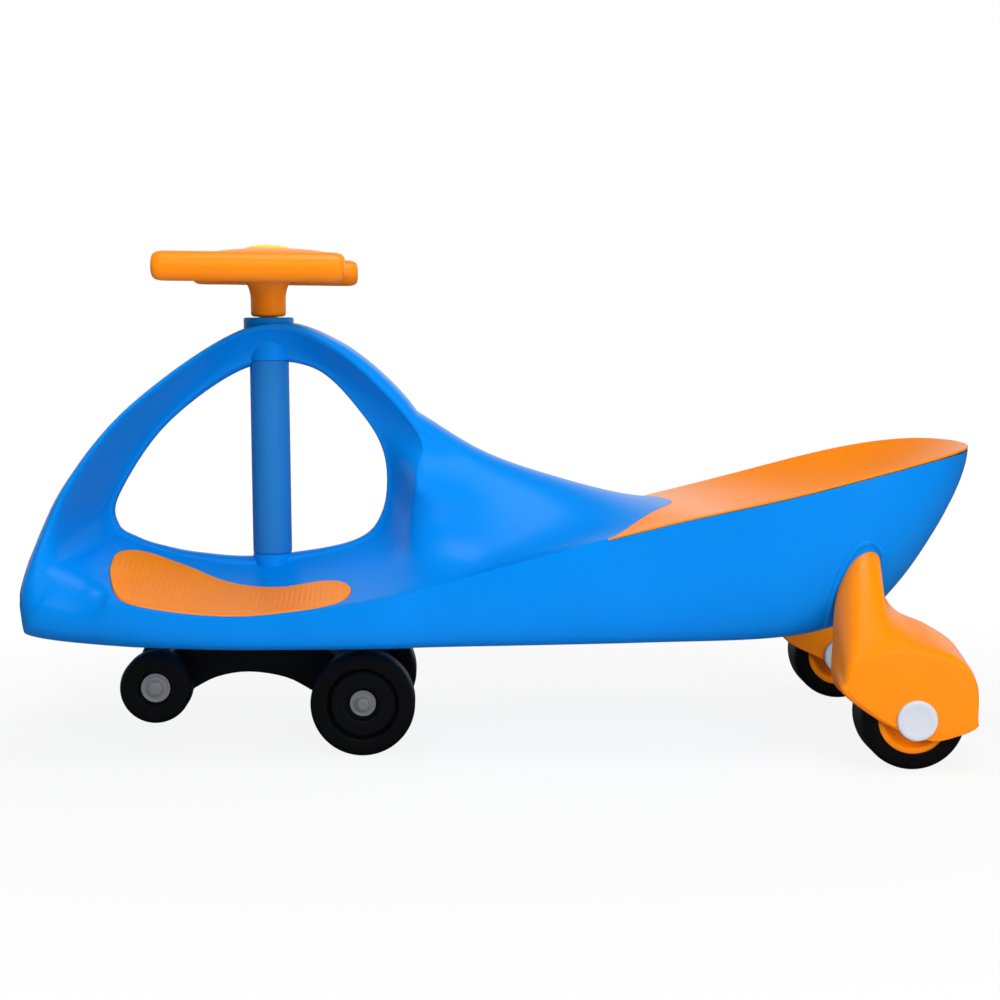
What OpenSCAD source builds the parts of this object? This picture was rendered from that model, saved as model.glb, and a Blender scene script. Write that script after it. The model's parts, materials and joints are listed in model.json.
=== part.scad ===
// Wiggle car: a ride-on toy that is driven by swinging its steering wheel from side to side.
// Nose at -X, stern at +X, left side at -Y, floor at Z = 0, millimetres.

/* [Body] */
// Length from the nose to the stern
body_len = 770; // [730:1:810]
// Height of the arch's crown above the floor
arch_h = 340; // [330:1:360]
// Height of the underside above the floor
belly_h = 86.5; // [86:0.5:92]
// Width of the foot deck across its edges
deck_w = 224; // [205:1:240]
// Width of the hull across the seat's rim
seat_w = 242; // [232:1:262]
// Distance from the nose to the shoulder behind the window
shoulder_back = 316; // [304:1:330]
// Thickness of the web round the window
web_t = 20; // [14:1:26]
// Depth of the rounding along the window's lip
lip_r = 6; // [3:0.5:9]
// Width of the flat band along the arch's rim
rim_band = 6; // [3:0.5:9]
// Wall thickness of the hull
wall = 3; // [2:0.25:4]

/* [Seat and foot pads] */
// Thickness of the seat insert
seat_t = 3.5; // [2.5:0.25:5]
// Thickness of the seat insert's flange on the hull's edge
flange_h = 1.6; // [1.2:0.1:2.2]
// Width of the seat insert's flange on the hull's edge
seat_edge = 2.2; // [1.5:0.1:4]
// Width of the ledge that carries the seat insert
ledge_w = 12; // [9:0.5:16]
// Distance from the nose to the tips of the seat insert
seat_back = 465; // [452:1:475]
// Depth of the notch in the seat insert's front edge
notch_len = 62; // [45:1:75]
// Thickness of a foot pad
pad_t = 2.6; // [2:0.1:4]
// Height of a foot pad above the deck
pad_proud = 1.2; // [0.6:0.1:1.8]

/* [Steering] */
// Distance from the nose to the steering axis
steer_back = 195; // [190:1:200]
// Diameter of the steering shaft
shaft_d = 16; // [12:0.5:18]
// Wall thickness of the two steering bushes
bush_wall = 2.5; // [1.5:0.25:3.5]
// Outside diameter of the sleeve round the shaft
sleeve_d = 32; // [28:0.5:36]
// Wall thickness of the sleeve
sleeve_wall = 3; // [2:0.25:4]
// Diameter of the collar on the arch
collar_d = 41; // [36:0.5:46]
// Height of the boss under the sleeve above the sill
sill_rise = 2; // [1:0.5:5]
// Height of the collar above the arch
collar_h = 6.5; // [4:0.5:10]
// Width of the steering wheel across its grips
wheel_w = 280; // [250:1:300]
// Length of a grip
grip_len = 146; // [130:1:170]
// Distance of the grips' middle before the steering axis
grip_lead = 4; // [0:0.5:8]
// Angle of the grips, front ends up
grip_tilt = 1; // [0:0.5:3]
// Diameter of a grip
grip_d = 23; // [20:0.5:28]
// Height of the grips' centre line above the collar
grip_rise = 41; // [38:0.5:48]
// Diameter of the steering wheel's domed middle
dome_d = 104; // [90:1:116]
// Height of the dome above the grips' centre line
dome_rise = 17.5; // [15:0.5:22]
// Diameter of the boss under the collar
boss_d = 34.5; // [30:0.5:40]
// Diameter of the steering wheel's stem
stem_d = 29; // [26:0.5:34]
// Diameter of the cap in the middle of the steering wheel
cap_d = 38; // [32:0.5:46]

/* [Front truck] */
// Distance of the front wheels behind the steering axis
trail_len = 76; // [70:1:82]
// Distance of the rollers before the steering axis
lead_len = 90; // [82:1:94]
// Gap between the front wheels and the underside
front_clear = 3; // [2:0.5:8]
// Width of a front wheel
front_w = 30; // [24:0.5:34]
// Gap between the two front wheels
front_gap = 112; // [104:1:118]
// Gap between the rollers and the underside
roller_clear = 4; // [2:0.5:10]
// Gap between the two rollers
roller_gap = 85; // [78:1:92]
// Width of a roller
roller_w = 28; // [22:0.5:32]
// Height of the rollers above the floor
roller_lift = 25.5; // [20:0.5:28]
// Diameter of the front axle and of the roller bolts
axle_d = 6; // [5:0.5:8]
// Width of the truck's beam
beam_w = 64; // [54:1:76]

/* [Rear wheels] */
// Distance from the stern to the rear axles
rear_inset = 75; // [70:1:84]
// Diameter of a rear wheel
rear_d = 81.5; // [78:0.5:84]
// Width of a rear wheel
rear_w = 40; // [34:0.5:44]
// Distance between the outer faces of the rear wheels
rear_track = 318; // [310:1:328]
// Diameter of a rear wheel's hub
rear_hub_d = 56; // [50:0.5:62]
// Wall thickness of a wheel pod
pod_wall = 4; // [3:0.25:5]
// Gap between a rear wheel and its pod
pod_gap = 3.5; // [2.5:0.25:5]
// Diameter of a rear axle
rear_axle_d = 10; // [8:0.5:12]
// Diameter of an axle cap
axle_cap_d = 31; // [26:0.5:36]
// Height of an axle cap
axle_cap_h = 3.5; // [2.5:0.25:5]

/* [Fits] */
// Radial play of a wheel on its axle and of the shaft in its bushes
run_fit = 0.08; // [0.04:0.01:0.1]
// Gap between fixed pieces that nest in each other
seat_fit = 0.3; // [0.2:0.05:0.4]
// Radial gap between pieces that are pinned, bolted or pressed together
press_fit = 0.05; // [0.02:0.01:0.1]
// Gap between moving faces
face_gap = 0.6; // [0.4:0.1:1]

/* [Hidden] */
over = 0.5;
fine_fn = 96;
mid_fn = 48;
bead_fn = 6;
left = -1;
right = 1;

blue = "#0a86e6";
orange = "#ff9410";
black = "#161618";
white = "#e9ebf4";
yellow = "#f6e016";
steel = "#b9bcc2";
sleeve_blue = "#2d78ba";

// Places along the car
nose_x = -body_len / 2;
stern_x = body_len / 2;
shoulder_x = nose_x + shoulder_back;
tail_len = stern_x - shoulder_x;
steer_x = nose_x + steer_back;
arch_rise = arch_h - belly_h;
deck_half = deck_w / 2;
seat_half = seat_w / 2;
web_half = web_t / 2;

// Steps of the body's surface
rib_steps = 5;
dish_steps = 5;
wrap_steps = 5;
tail_steps = 16;
dish_power = 1.35;
rim_round = lip_r / 3;

// Ribs round the window. Columns: window lip x and z, rim x and z, rim half width, outer line x and z,
// then web, band and edge rounding. x is a share of the nose to shoulder distance, z of the arch's rise,
// half width of the deck's, and the last three of web_t, rim_band and rim_round.
rib_shares = [
    [0.617, 0.910, 0.617, 0.980, 0.270, 0.617, 1.000, 1.00, 0.50, 1.0],
    [0.350, 0.688, 0.291, 0.743, 0.420, 0.275, 0.761, 0.55, 0.35, 1.0],
    [0.221, 0.464, 0.120, 0.478, 0.710, 0.095, 0.490, 0.50, 0.40, 1.5],
    [0.218, 0.365, 0.042, 0.276, 0.910, 0.008, 0.216, 0.50, 2.00, 4.0],
    [0.268, 0.322, 0.092, 0.236, 0.964, 0.000, 0.080, 0.50, 1.50, 4.0],
    [0.320, 0.298, 0.185, 0.196, 0.980, 0.030, 0.030, 0.60, 0.60, 2.0],
    [0.375, 0.278, 0.287, 0.157, 0.990, 0.287, 0.000, 0.80, 0.30, 1.0],
    [0.587, 0.258, 0.587, 0.118, 1.000, 0.587, 0.000, 1.00, 0.25, 1.0],
    [0.823, 0.302, 1.000, 0.198, 1.000, 1.000, 0.000, 0.60, 0.30, 1.0],
    [0.905, 0.397, 1.000, 0.317, 0.554, 1.000, 0.000, 0.50, 0.40, 1.0],
    [0.915, 0.571, 1.000, 0.516, 0.395, 1.000, 0.560, 0.50, 0.40, 1.0],
    [0.861, 0.706, 1.000, 0.663, 0.241, 1.000, 0.726, 0.50, 0.40, 1.0],
    [0.744, 0.878, 0.817, 0.893, 0.259, 0.830, 0.913, 0.60, 0.40, 1.0]];
// How square the outside of each rib is, from an ellipse at 2 upwards
rib_squareness = [3.2, 3.2, 2.6, 3.2, 3.6, 3.5, 4, 6, 7, 7, 3, 3, 3.2];
sill_rib = 7;
low_rib = 8;
high_rib = 11;

// Lines along the tail. First column: share of the tail's length, second: share of the arch's rise.
spine_shares = [[0, 0.726], [0.12, 0.594], [0.25, 0.509], [0.4, 0.44], [0.58, 0.407], [0.72, 0.407],
    [0.84, 0.444], [0.93, 0.515], [1, 0.598]];
rim_shares = [[0, 0.198], [0.15, 0.268], [0.3, 0.340], [0.44, 0.4], [0.62, 0.473], [0.79, 0.548],
    [0.88, 0.583], [0.95, 0.603], [1, 0.61]];
keel_shares = [[0, 0], [0.5, 0], [0.65, 0.008], [0.73, 0.026], [0.8, 0.062], [0.855, 0.148],
    [0.9, 0.25], [0.94, 0.357], [0.975, 0.47], [1, 0.58]];
// Half width along the tail, as a share of the seat's, up to its widest place
waist_shares = [[0, 0], [0.32, -0.02], [0.45, -0.026], [0.62, 0.056], [0.68, 0.074]];
widest_share = 0.68;
stern_power = 2.8;
stern_root = 2.2;
// Powers of the ridge over the tail: place, inner power, outer power
ridge_powers = [[0, 3, 8], [0.12, 2.7, 5], [0.25, 2.3, 2.8], [0.4, 2, 1.5], [0.52, 2, 1], [1, 2, 1]];
// Squareness of the skirt along the tail
skirt_powers = [[0, 7], [0.35, 7], [0.6, 5.5], [0.8, 3.2], [1, 2.2]];

// Smooth curve through four values
function blend(a, b, c, d, t) =
    b + t / 2 * (c - a + t * (2 * a - 5 * b + 4 * c - d + t * (3 * (b - c) + d - a)));

// Value on a closed row of keys at place u, counted in keys
function ring_at(keys, u) =
    let (n = len(keys), i = floor(u))
    blend(keys[(i + n - 1) % n], keys[i % n], keys[(i + 1) % n], keys[(i + 2) % n], u - i);

// Slope of a table of places and values at row i
function slope_at(table, i, col) =
    let (a = max(i - 1, 0), b = min(i + 1, len(table) - 1))
    (table[b][col] - table[a][col]) / (table[b][0] - table[a][0]);

// Value of a table of places and values at place x, on a smooth curve
function along(table, x, col = 1) =
    let (top = len(table) - 2)
    let (below = [for (k = [0 : top]) if (table[k][0] <= x) k])
    let (i = len(below) == 0 ? 0 : max(below))
    let (step = table[i + 1][0] - table[i][0], t = (x - table[i][0]) / step)
    let (a = table[i][col], b = table[i + 1][col])
    let (m = slope_at(table, i, col) * step, n = slope_at(table, i + 1, col) * step)
    a + t * (m + t * (3 * (b - a) - 2 * m - n + t * (2 * (a - b) + m + n)));

function front_x(share) = nose_x + shoulder_back * share;
function rise_z(share) = belly_h + arch_rise * share;

// The tail at place q, from 0 at the shoulder to 1 at the stern
function tail_x(q) = shoulder_x + tail_len * q;
function tail_q(x) = (x - shoulder_x) / tail_len;
function spine_z(q) = rise_z(along(spine_shares, q));
function rim_z(q) = rise_z(along(rim_shares, q));
function keel_z(q) = rise_z(along(keel_shares, q));
function rim_half(q) = q < widest_share
    ? deck_half + (seat_half - deck_half) * along(waist_shares, q) / along(waist_shares, widest_share)
    : seat_half * pow(max(0, 1 - pow((q - widest_share) / (1 - widest_share), stern_power)), 1 / stern_root);
function ridge(v, q) = pow(max(0, 1 - pow(abs(v), along(ridge_powers, q, 1))), along(ridge_powers, q, 2));
function tail_top(q, v) = rim_z(q) + (spine_z(q) - rim_z(q)) * ridge(v, q);
function skirt_y(q, z) =
    let (n = along(skirt_powers, q), drop = (rim_z(q) - z) / (rim_z(q) - keel_z(q)))
    rim_half(q) * pow(max(0, 1 - pow(max(0, drop), n)), 1 / n);

// One rib round the window: lip, dish, band and outside, from the middle plane to the middle plane
function rib_line(u) =
    let (k = ring_at(rib_shares, u), power = 2 / ring_at(rib_squareness, u))
    let (ax = front_x(k[0]), az = rise_z(k[1]), bx = front_x(k[2]), bz = rise_z(k[3]))
    let (half = deck_half * k[4], cx = front_x(max(k[5], 0)), cz = rise_z(max(k[6], 0)))
    let (reach = norm([bx - ax, bz - az]), ux = (bx - ax) / reach, uz = (bz - az) / reach)
    let (web = web_half * k[7], lip = lip_r * k[7], band = rim_band * k[8], edge = half - rim_round * k[9])
    let (sx = ax + ux * lip, sz = az + uz * lip)
    let (ex = bx - ux * band, ez = bz - uz * band)
    concat(
        [for (a = [0, 45]) let (in = lip * (1 - cos(a))) [ax + ux * in, web * sin(a), az + uz * in]],
        [for (j = [0 : dish_steps]) let (s = j / dish_steps)
            [sx + (ex - sx) * s, web + (edge - web) * pow(s, dish_power), sz + (ez - sz) * s]],
        [for (j = [0 : wrap_steps]) let (a = 90 * j / wrap_steps)
            let (out = pow(sin(a), power), side = j == wrap_steps ? 0 : pow(cos(a), power))
            [bx + (cx - bx) * out, half * side, bz + (cz - bz) * out]]);
rim_at = 3 + dish_steps;
rib_last = rim_at + wrap_steps;
rib_count = len(rib_shares) * rib_steps;

// Points across the tail: down from the spine over the flank, then down the skirt to the keel
low_u = low_rib * rib_steps;
high_u = high_rib * rib_steps;
flank_ribs = [for (i = [high_u - 1 : -1 : low_u + 1]) i];
high_line = rib_line(high_rib);
low_line = rib_line(low_rib);
join_line = concat(
    [for (j = [rib_last : -1 : rim_at]) high_line[j]],
    [for (i = flank_ribs) rib_line(i / rib_steps)[rim_at]],
    [for (j = [rim_at : rib_last]) low_line[j]]);
top_count = wrap_steps + 1 + len(flank_ribs);
join_shares = [for (j = [0 : top_count]) join_line[j][1] / join_line[top_count][1]];
function tail_line(q) = concat(
    [for (j = [0 : top_count]) [tail_x(q), rim_half(q) * join_shares[j], tail_top(q, join_shares[j])]],
    [for (j = [1 : wrap_steps]) let (a = 90 * j / wrap_steps, power = 2 / along(skirt_powers, q))
        [tail_x(q), j == wrap_steps ? 0 : rim_half(q) * pow(cos(a), power),
            rim_z(q) - (rim_z(q) - keel_z(q)) * pow(sin(a), power)]]);
// Stations close up towards the stern
stern_gap_share = 0.004;
function tail_place(i) = (1 - stern_gap_share) * (1 - pow(1 - i / tail_steps, 1.7));
tail_lines = concat([join_line], [for (i = [1 : tail_steps]) tail_line(tail_place(i))]);

function mirrored(points) = [for (p = points) [p[0], -p[1], p[2]]];
function turned(faces) = [for (f = faces) [f[2], f[1], f[0]]];
// Two triangles on each cell of a grid of points that lies row by row
function cell(a, b) = [[a, a + 1, b], [b, a + 1, b + 1]];
function cells(rows, cols, from = 0) = [
    for (i = [0 : rows - 2], j = [0 : cols - 2]) each cell(from + i * cols + j, from + (i + 1) * cols + j)];

// The whole outside of the moulded body: ribs round the window, then the tail
module body_outside() {
    cols = rib_last + 1;
    near_ribs = [for (i = [0 : rib_count - 1]) each rib_line(i / rib_steps)];
    near = concat(near_ribs, [for (line = tail_lines) each line]);
    count = len(near);
    tail_cols = len(join_line);
    // Behind the window the tail takes the place of the ribs' outside
    ring = [for (i = [0 : rib_count - 1], j = [0 : cols - 2])
        if (j < rim_at || i < low_u || i >= high_u) each cell(i * cols + j, (i + 1) % rib_count * cols + j)];
    last = count - tail_cols;
    end = [for (j = [0 : tail_cols - 2]) [last + j, last + j + 1, 2 * count]];
    half = concat(ring, cells(tail_steps + 1, tail_cols, len(near_ribs)), end);
    other = [for (f = turned(half)) [for (k = f) k == 2 * count ? k : k + count]];
    polyhedron(concat(near, mirrored(near), [[stern_x, 0, rim_z(1)]]), concat(half, other));
}

// A tail-wide slab between two heights over the seat's surface, from the tips of the seat to the stern
seat_steps = 15;
seat_cells = 6;
seat_end_share = 0.9995;
ledge_end_share = 0.97;
seat_first = tail_q(nose_x + seat_back);
function seat_place(i, end) = seat_first + (end - seat_first) * (1 - pow(1 - i / seat_steps, 1.5));
// The slab's end draws in from the stern as its sides do from the rim
function stern_pull(q, inset) = inset * max(0, (q - widest_share) / (1 - widest_share));
function seat_row(q, inset) =
    let (half = max(rim_half(q) - inset, seat_edge), x = tail_x(q) - stern_pull(q, inset))
    [for (j = [-seat_cells : seat_cells]) let (y = half * j / seat_cells)
        [x, y, tail_top(q, y / rim_half(q))]];
module seat_slab(inset, bottom, top, end = seat_end_share) {
    rows = [for (i = [0 : seat_steps]) seat_row(seat_place(i, end), inset)];
    slab(rows, [0, 0, bottom], [0, 0, top]);
}
// A solid between a grid of points moved by one step and the same grid moved by another
module slab(rows, bottom, top) {
    cols = len(rows[0]);
    count = len(rows);
    total = count * cols;
    edge = concat(
        [for (i = [0 : count - 2]) i * cols],
        [for (j = [0 : cols - 2]) (count - 1) * cols + j],
        [for (i = [count - 1 : -1 : 1]) i * cols + cols - 1],
        [for (j = [cols - 1 : -1 : 1]) j]);
    sides = [for (k = [0 : len(edge) - 1]) let (a = edge[k], b = edge[(k + 1) % len(edge)])
        each [[a, b, a + total], [b, b + total, a + total]]];
    skin = cells(count, cols);
    under = [for (f = turned(skin)) [for (k = f) k + total]];
    polyhedron(concat([for (row = rows, p = row) p + top], [for (row = rows, p = row) p + bottom]),
        concat(skin, under, sides));
}
// A solid through a row of closed outlines, with flat ends
module loft(rows) {
    cols = len(rows[0]);
    count = len(rows);
    last = (count - 1) * cols;
    skin = [for (i = [0 : count - 2], j = [0 : cols - 1]) let (a = i * cols, n = (j + 1) % cols)
        each [[a + j, a + n, a + cols + j], [a + cols + j, a + n, a + cols + n]]];
    ends = [[for (j = [cols - 1 : -1 : 0]) j], [for (j = [0 : cols - 1]) last + j]];
    polyhedron([for (row = rows, p = row) p], concat(skin, ends));
}

// Plan of the blue tongue that runs back into the seat's front edge
tongue_power = 1.9;
tongue_cells = 12;
module tongue_plan(grow) {
    tip = nose_x + seat_back;
    half = rim_half(seat_first);
    curve = [for (j = [tongue_cells : -1 : -tongue_cells]) let (v = j / tongue_cells)
        [tip + grow + notch_len * (1 - pow(abs(v), tongue_power)), half * v]];
    polygon(concat([[tip - seat_w, -half], [tip - seat_w, half]], curve));
}
module tongue(grow) {
    translate([0, 0, belly_h]) linear_extrude(arch_h) tongue_plan(grow);
}

// Hollow of the hull, one wall inside its outside
hollow_steps = 14;
hollow_cells = 5;
hollow_front_share = 0.13;
hollow_crest_share = 0.200;
hollow_edge_share = 0.105;
hollow_nose_share = 0.70;
hollow_start_share = 0.08;
hollow_end_share = 0.93;
hollow_skin = 2 * wall;
// Across the hollow: a ridge over the top with two powers, then a rounded bilge
function hollow_line(x, half, crest, edge, low, powers, square) = concat(
    [for (j = [-hollow_cells : hollow_cells]) let (v = abs(j / hollow_cells))
        [x, half * j / hollow_cells, edge + (crest - edge) * pow(max(0, 1 - pow(v, powers[0])), powers[1])]],
    [for (j = [1 : 2 * hollow_cells - 1]) let (a = 90 * j / hollow_cells, power = 2 / square)
        let (out = sign(cos(a)) * pow(abs(cos(a)), power), down = pow(sin(min(a, 180 - a)), power))
        [x, half * out, edge - (edge - low) * down]]);
function front_hollow(t) =
    let (x = front_x(hollow_front_share + (1 - hollow_front_share) * t) - 2 * wall)
    let (full = 1 - (1 - hollow_nose_share) * pow(1 - t, 6))
    let (low = belly_h + wall + hollow_skin * pow(1 - t, 4))
    hollow_line(x, (deck_half - hollow_skin) * full, rise_z(hollow_crest_share), rise_z(hollow_edge_share),
        low, [2, 3], 7);
function tail_hollow(q) =
    let (crest = spine_z(q) - hollow_skin - seat_t, edge = rim_z(q) - 2 * hollow_skin)
    let (powers = [along(ridge_powers, q, 1), along(ridge_powers, q, 2)])
    hollow_line(tail_x(q), rim_half(q) - hollow_skin, crest, edge, keel_z(q) + wall + hollow_skin * pow(q, 3),
        powers, along(skirt_powers, q));
module hollow() {
    reach = hollow_end_share - hollow_start_share;
    loft(concat([for (i = [0 : hollow_cells]) front_hollow(i / hollow_cells)],
        [for (i = [0 : hollow_steps]) tail_hollow(hollow_start_share + reach * i / hollow_steps)]));
}

// Heights along the steering axis
collar_z = arch_h + collar_h;
sill_z = rise_z(rib_shares[sill_rib][1]);
lintel_z = rise_z(rib_shares[0][1]);
sleeve_z = sill_z + sill_rise;
boss_z = lintel_z - lip_r * 0.6;
flange_t = bush_wall * 0.8;
washer_t = bush_wall * 0.8;
shaft_r = shaft_d / 2;
bush_r = shaft_r + run_fit + bush_wall;
flange_r = bush_r + bush_wall * 1.6;
truck_z = belly_h - flange_t - washer_t - face_gap;
grip_z = collar_z + grip_rise;
dome_z = grip_z + dome_rise;
stem_z = collar_z + flange_t + face_gap;

module at_steering(z) {
    translate([steer_x, 0, z]) children();
}
// A turned shape about the steering axis, from pairs of radius and height
module turned_about_steering(profile) {
    translate([steer_x, 0, 0]) rotate_extrude($fn = fine_fn) polygon(profile);
}
// A turned shape about a cross axle: pairs of radius and distance from the middle plane, on one side
module turned_about_axle(x, z, side, profile) {
    translate([x, 0, z]) rotate([-90 * side, 0, 0]) rotate_extrude($fn = fine_fn) polygon(profile);
}
module axle_hole(x, z, r, from, to) {
    translate([x, from, z]) rotate([-90, 0, 0]) cylinder(r = r, h = to - from, $fn = fine_fn);
}

// Rear axle and pod
rear_x = stern_x - rear_inset;
rear_z = rear_d / 2;
rear_out = rear_track / 2;
rear_in = rear_out - rear_w;
pod_out = rear_out + pod_gap + pod_wall;
pod_in = rear_in - pod_gap - pod_wall;
well_r = rear_z + pod_gap;
// Outline of a pod at its inner and at its outer face, about the axle, as shares of the wheel's diameter
pod_inner_shares = [[-0.65, 0.23], [-0.67, 0.69], [-0.64, 1.1], [-0.51, 1.45], [-0.35, 1.57], [-0.22, 1.47],
    [-0.2, 1.16], [-0.06, 0.95], [0.21, 0.8], [0.47, 0.6], [0.61, 0.3], [0.61, 0.03], [0.59, -0.06],
    [0.4, -0.13], [0.12, -0.17], [-0.3, 0]];
pod_outer_shares = [[-0.69, 0.25], [-0.68, 0.35], [-0.65, 0.45], [-0.59, 0.54], [-0.48, 0.61], [-0.33, 0.66],
    [-0.15, 0.68], [0.04, 0.66], [0.28, 0.59], [0.47, 0.45], [0.58, 0.24], [0.598, 0], [0.59, -0.085],
    [0.41, -0.165], [0.12, -0.21], [-0.3, -0.04]];
pod_steps = 2;
pod_edge = pod_wall * 1.3;
pod_mix_power = 1.15;
// The lower edges are rounded less than the upper ones
pod_low_share = 0.4;
// Stations across a pod: share of its width, and how far its outline draws in there, in edge radii
pod_station_shares = [[0, 0.6], [0.03, 0.15], [0.08, 0], [0.22, 0], [0.36, 0], [0.5, 0], [0.64, 0], [0.78, 0],
    [0.9, 0], [0.96, 0.3], [1, 1]];
function pod_outline(mix, draw) =
    let (middle = [0, 0.3 * rear_d])
    [for (i = [len(pod_inner_shares) * pod_steps - 1 : -1 : 0]) let (u = i / pod_steps)
        let (p = (ring_at(pod_inner_shares, u) * (1 - mix) + ring_at(pod_outer_shares, u) * mix) * rear_d)
        let (soft = min(1, max(pod_low_share, pod_low_share + p[1] / rear_d)))
        p - (p - middle) / norm(p - middle) * draw * soft];
function pod_row(station) =
    let (y = pod_in + (pod_out - pod_in) * station[0])
    [for (p = pod_outline(pow(station[0], pod_mix_power), station[1] * pod_edge))
        [rear_x + p[0], y, rear_z + p[1]]];
module pod_outside() {
    loft([for (station = pod_station_shares) pod_row(station)]);
}
// Spigot of a pod that plugs into the hull
spigot_r = 0.18 * rear_d;
spigot_shares = [[-0.38, 1.28], [-0.4, 1.13]];
spigot_end_share = 0.72;
spigot_in = pod_in * spigot_end_share;
socket_wall = 4 * wall;
module spigot(grow, from, to) {
    translate([rear_x, from, rear_z]) rotate([-90, 0, 0]) linear_extrude(to - from) hull()
        for (p = spigot_shares * rear_d) translate([p[0], -p[1]]) circle(r = spigot_r + grow, $fn = mid_fn);
}
// The right-hand side as drawn, or its mirror image on the left
module on_side(side) {
    mirror([0, side == left ? 1 : 0, 0]) children();
}
module both_sides() {
    for (side = [left, right]) on_side(side) children();
}

// Bead on the hull round the front and the top of a pod's stem
bead_r = wall * 0.9;
bead_steps = 9;
bead_from = 1.1;
bead_to = 6.2;
function bead_at(i) =
    let (p = ring_at(pod_inner_shares, bead_from + (bead_to - bead_from) * i / bead_steps) * rear_d)
    let (middle = [spigot_shares[1][0], spigot_shares[1][1]] * rear_d)
    let (out = p + (p - middle) / norm(p - middle) * bead_r)
    let (x = rear_x + out[0], z = rear_z + out[1])
    [x, skirt_y(tail_q(x), z) - bead_r * 0.4, z];
module stem_bead() {
    for (i = [0 : bead_steps - 1]) hull() {
        translate(bead_at(i)) sphere(r = bead_r, $fn = bead_fn);
        translate(bead_at(i + 1)) sphere(r = bead_r, $fn = bead_fn);
    }
}

// Foot pads: a slab that follows the deck, cut to the pad's outline
pad_shares = [[0.221, 0.51], [0.222, 0.31], [0.24, 0.2], [0.275, 0.135], [0.33, 0.13], [0.408, 0.2],
    [0.517, 0.36], [0.648, 0.485], [0.745, 0.485], [0.804, 0.56], [0.832, 0.73], [0.818, 0.885],
    [0.765, 0.96], [0.66, 0.97], [0.5, 0.97], [0.36, 0.97], [0.3, 0.95], [0.262, 0.88], [0.238, 0.74]];
pad_steps = 3;
pad_from_rib = 2.6;
pad_to_rib = 8;
pad_rows = 15;
pad_tilt = 24;
module pad_plan(grow) {
    offset(delta = grow) polygon([for (i = [0 : len(pad_shares) * pad_steps - 1])
        let (p = ring_at(pad_shares, i / pad_steps)) [front_x(p[0]), deck_half * p[1]]]);
}
module deck_slab(bottom, top) {
    out = [0, sin(pad_tilt), cos(pad_tilt)];
    step = (pad_to_rib - pad_from_rib) / pad_rows;
    rows = [for (i = [0 : pad_rows]) let (line = rib_line(pad_from_rib + step * i))
        [for (j = [2 : rim_at - 1]) line[j]]];
    slab(rows, out * bottom, out * top);
}
module pad(grow, bottom, top) {
    intersection() {
        deck_slab(bottom, top);
        translate([0, 0, belly_h]) linear_extrude(arch_rise) pad_plan(grow);
    }
}

// Main moulding

module body_shell() {
    color(blue) difference() {
        union() {
            difference() {
                body_outside();
                hollow();
            }
            intersection() {
                body_outside();
                union() {
                    both_sides() spigot(socket_wall, spigot_in - 2 * wall, seat_half);
                    at_steering(belly_h) cylinder(d = boss_d, h = sill_z - belly_h, $fn = mid_fn);
                }
            }
            at_steering(sill_z - web_t) cylinder(d = sleeve_d, h = web_t + sill_rise, $fn = mid_fn);
            at_steering(boss_z) cylinder(d = boss_d, h = collar_z - boss_z, $fn = mid_fn);
            at_steering(arch_h - collar_h) cylinder(d = collar_d, h = 2 * collar_h, $fn = mid_fn);
            both_sides() stem_bead();
        }
        at_steering(0) cylinder(r = bush_r + seat_fit, h = collar_z + over, $fn = mid_fn);
        at_steering(sleeve_z) cylinder(d = sleeve_d + 2 * seat_fit, h = boss_z - sleeve_z, $fn = mid_fn);
        difference() {
            union() {
                seat_slab(seat_edge - seat_fit, -seat_t - seat_fit, seat_w);
                seat_slab(-over, -flange_h - seat_fit, seat_w);
                stern_trim();
            }
            tongue(-seat_fit);
        }
        difference() {
            seat_slab(ledge_w, -seat_t - 2 * hollow_skin, seat_w, ledge_end_share);
            tongue(ledge_w);
        }
        both_sides() pad(seat_fit, pad_proud - pad_t - seat_fit, pad_t);
        both_sides() spigot(seat_fit, spigot_in - seat_fit, seat_half);
        both_sides() pod_grown();
        both_sides() pod_screw_holes(screw_r + seat_fit);
    }
}
// Room for a pod where its stem meets the hull, also behind the stem
module pod_grown() {
    grown = 1 + seat_fit / spigot_r;
    for (back = [0, seat_fit])
        translate([rear_x + back, -seat_fit, rear_z]) scale([grown, 1, grown])
            translate([-rear_x, 0, -rear_z]) pod_outside();
}
// Room behind the end of the seat's flange
module stern_trim() {
    translate([tail_x(seat_end_share) - over, -ledge_w, rim_z(1) - flange_h - seat_fit])
        cube([2 * over, 2 * ledge_w, seat_t]);
}

// Seat insert

module seat_insert() {
    color(orange) difference() {
        union() {
            seat_slab(0, -flange_h, 0);
            seat_slab(seat_edge, -seat_t, -flange_h / 2);
        }
        tongue(0);
    }
}

module foot_pad_left() {
    color(orange) on_side(left) pad(0, pad_proud - pad_t, pad_proud);
}
module foot_pad_right() {
    color(orange) on_side(right) pad(0, pad_proud - pad_t, pad_proud);
}

// Steering column

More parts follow.
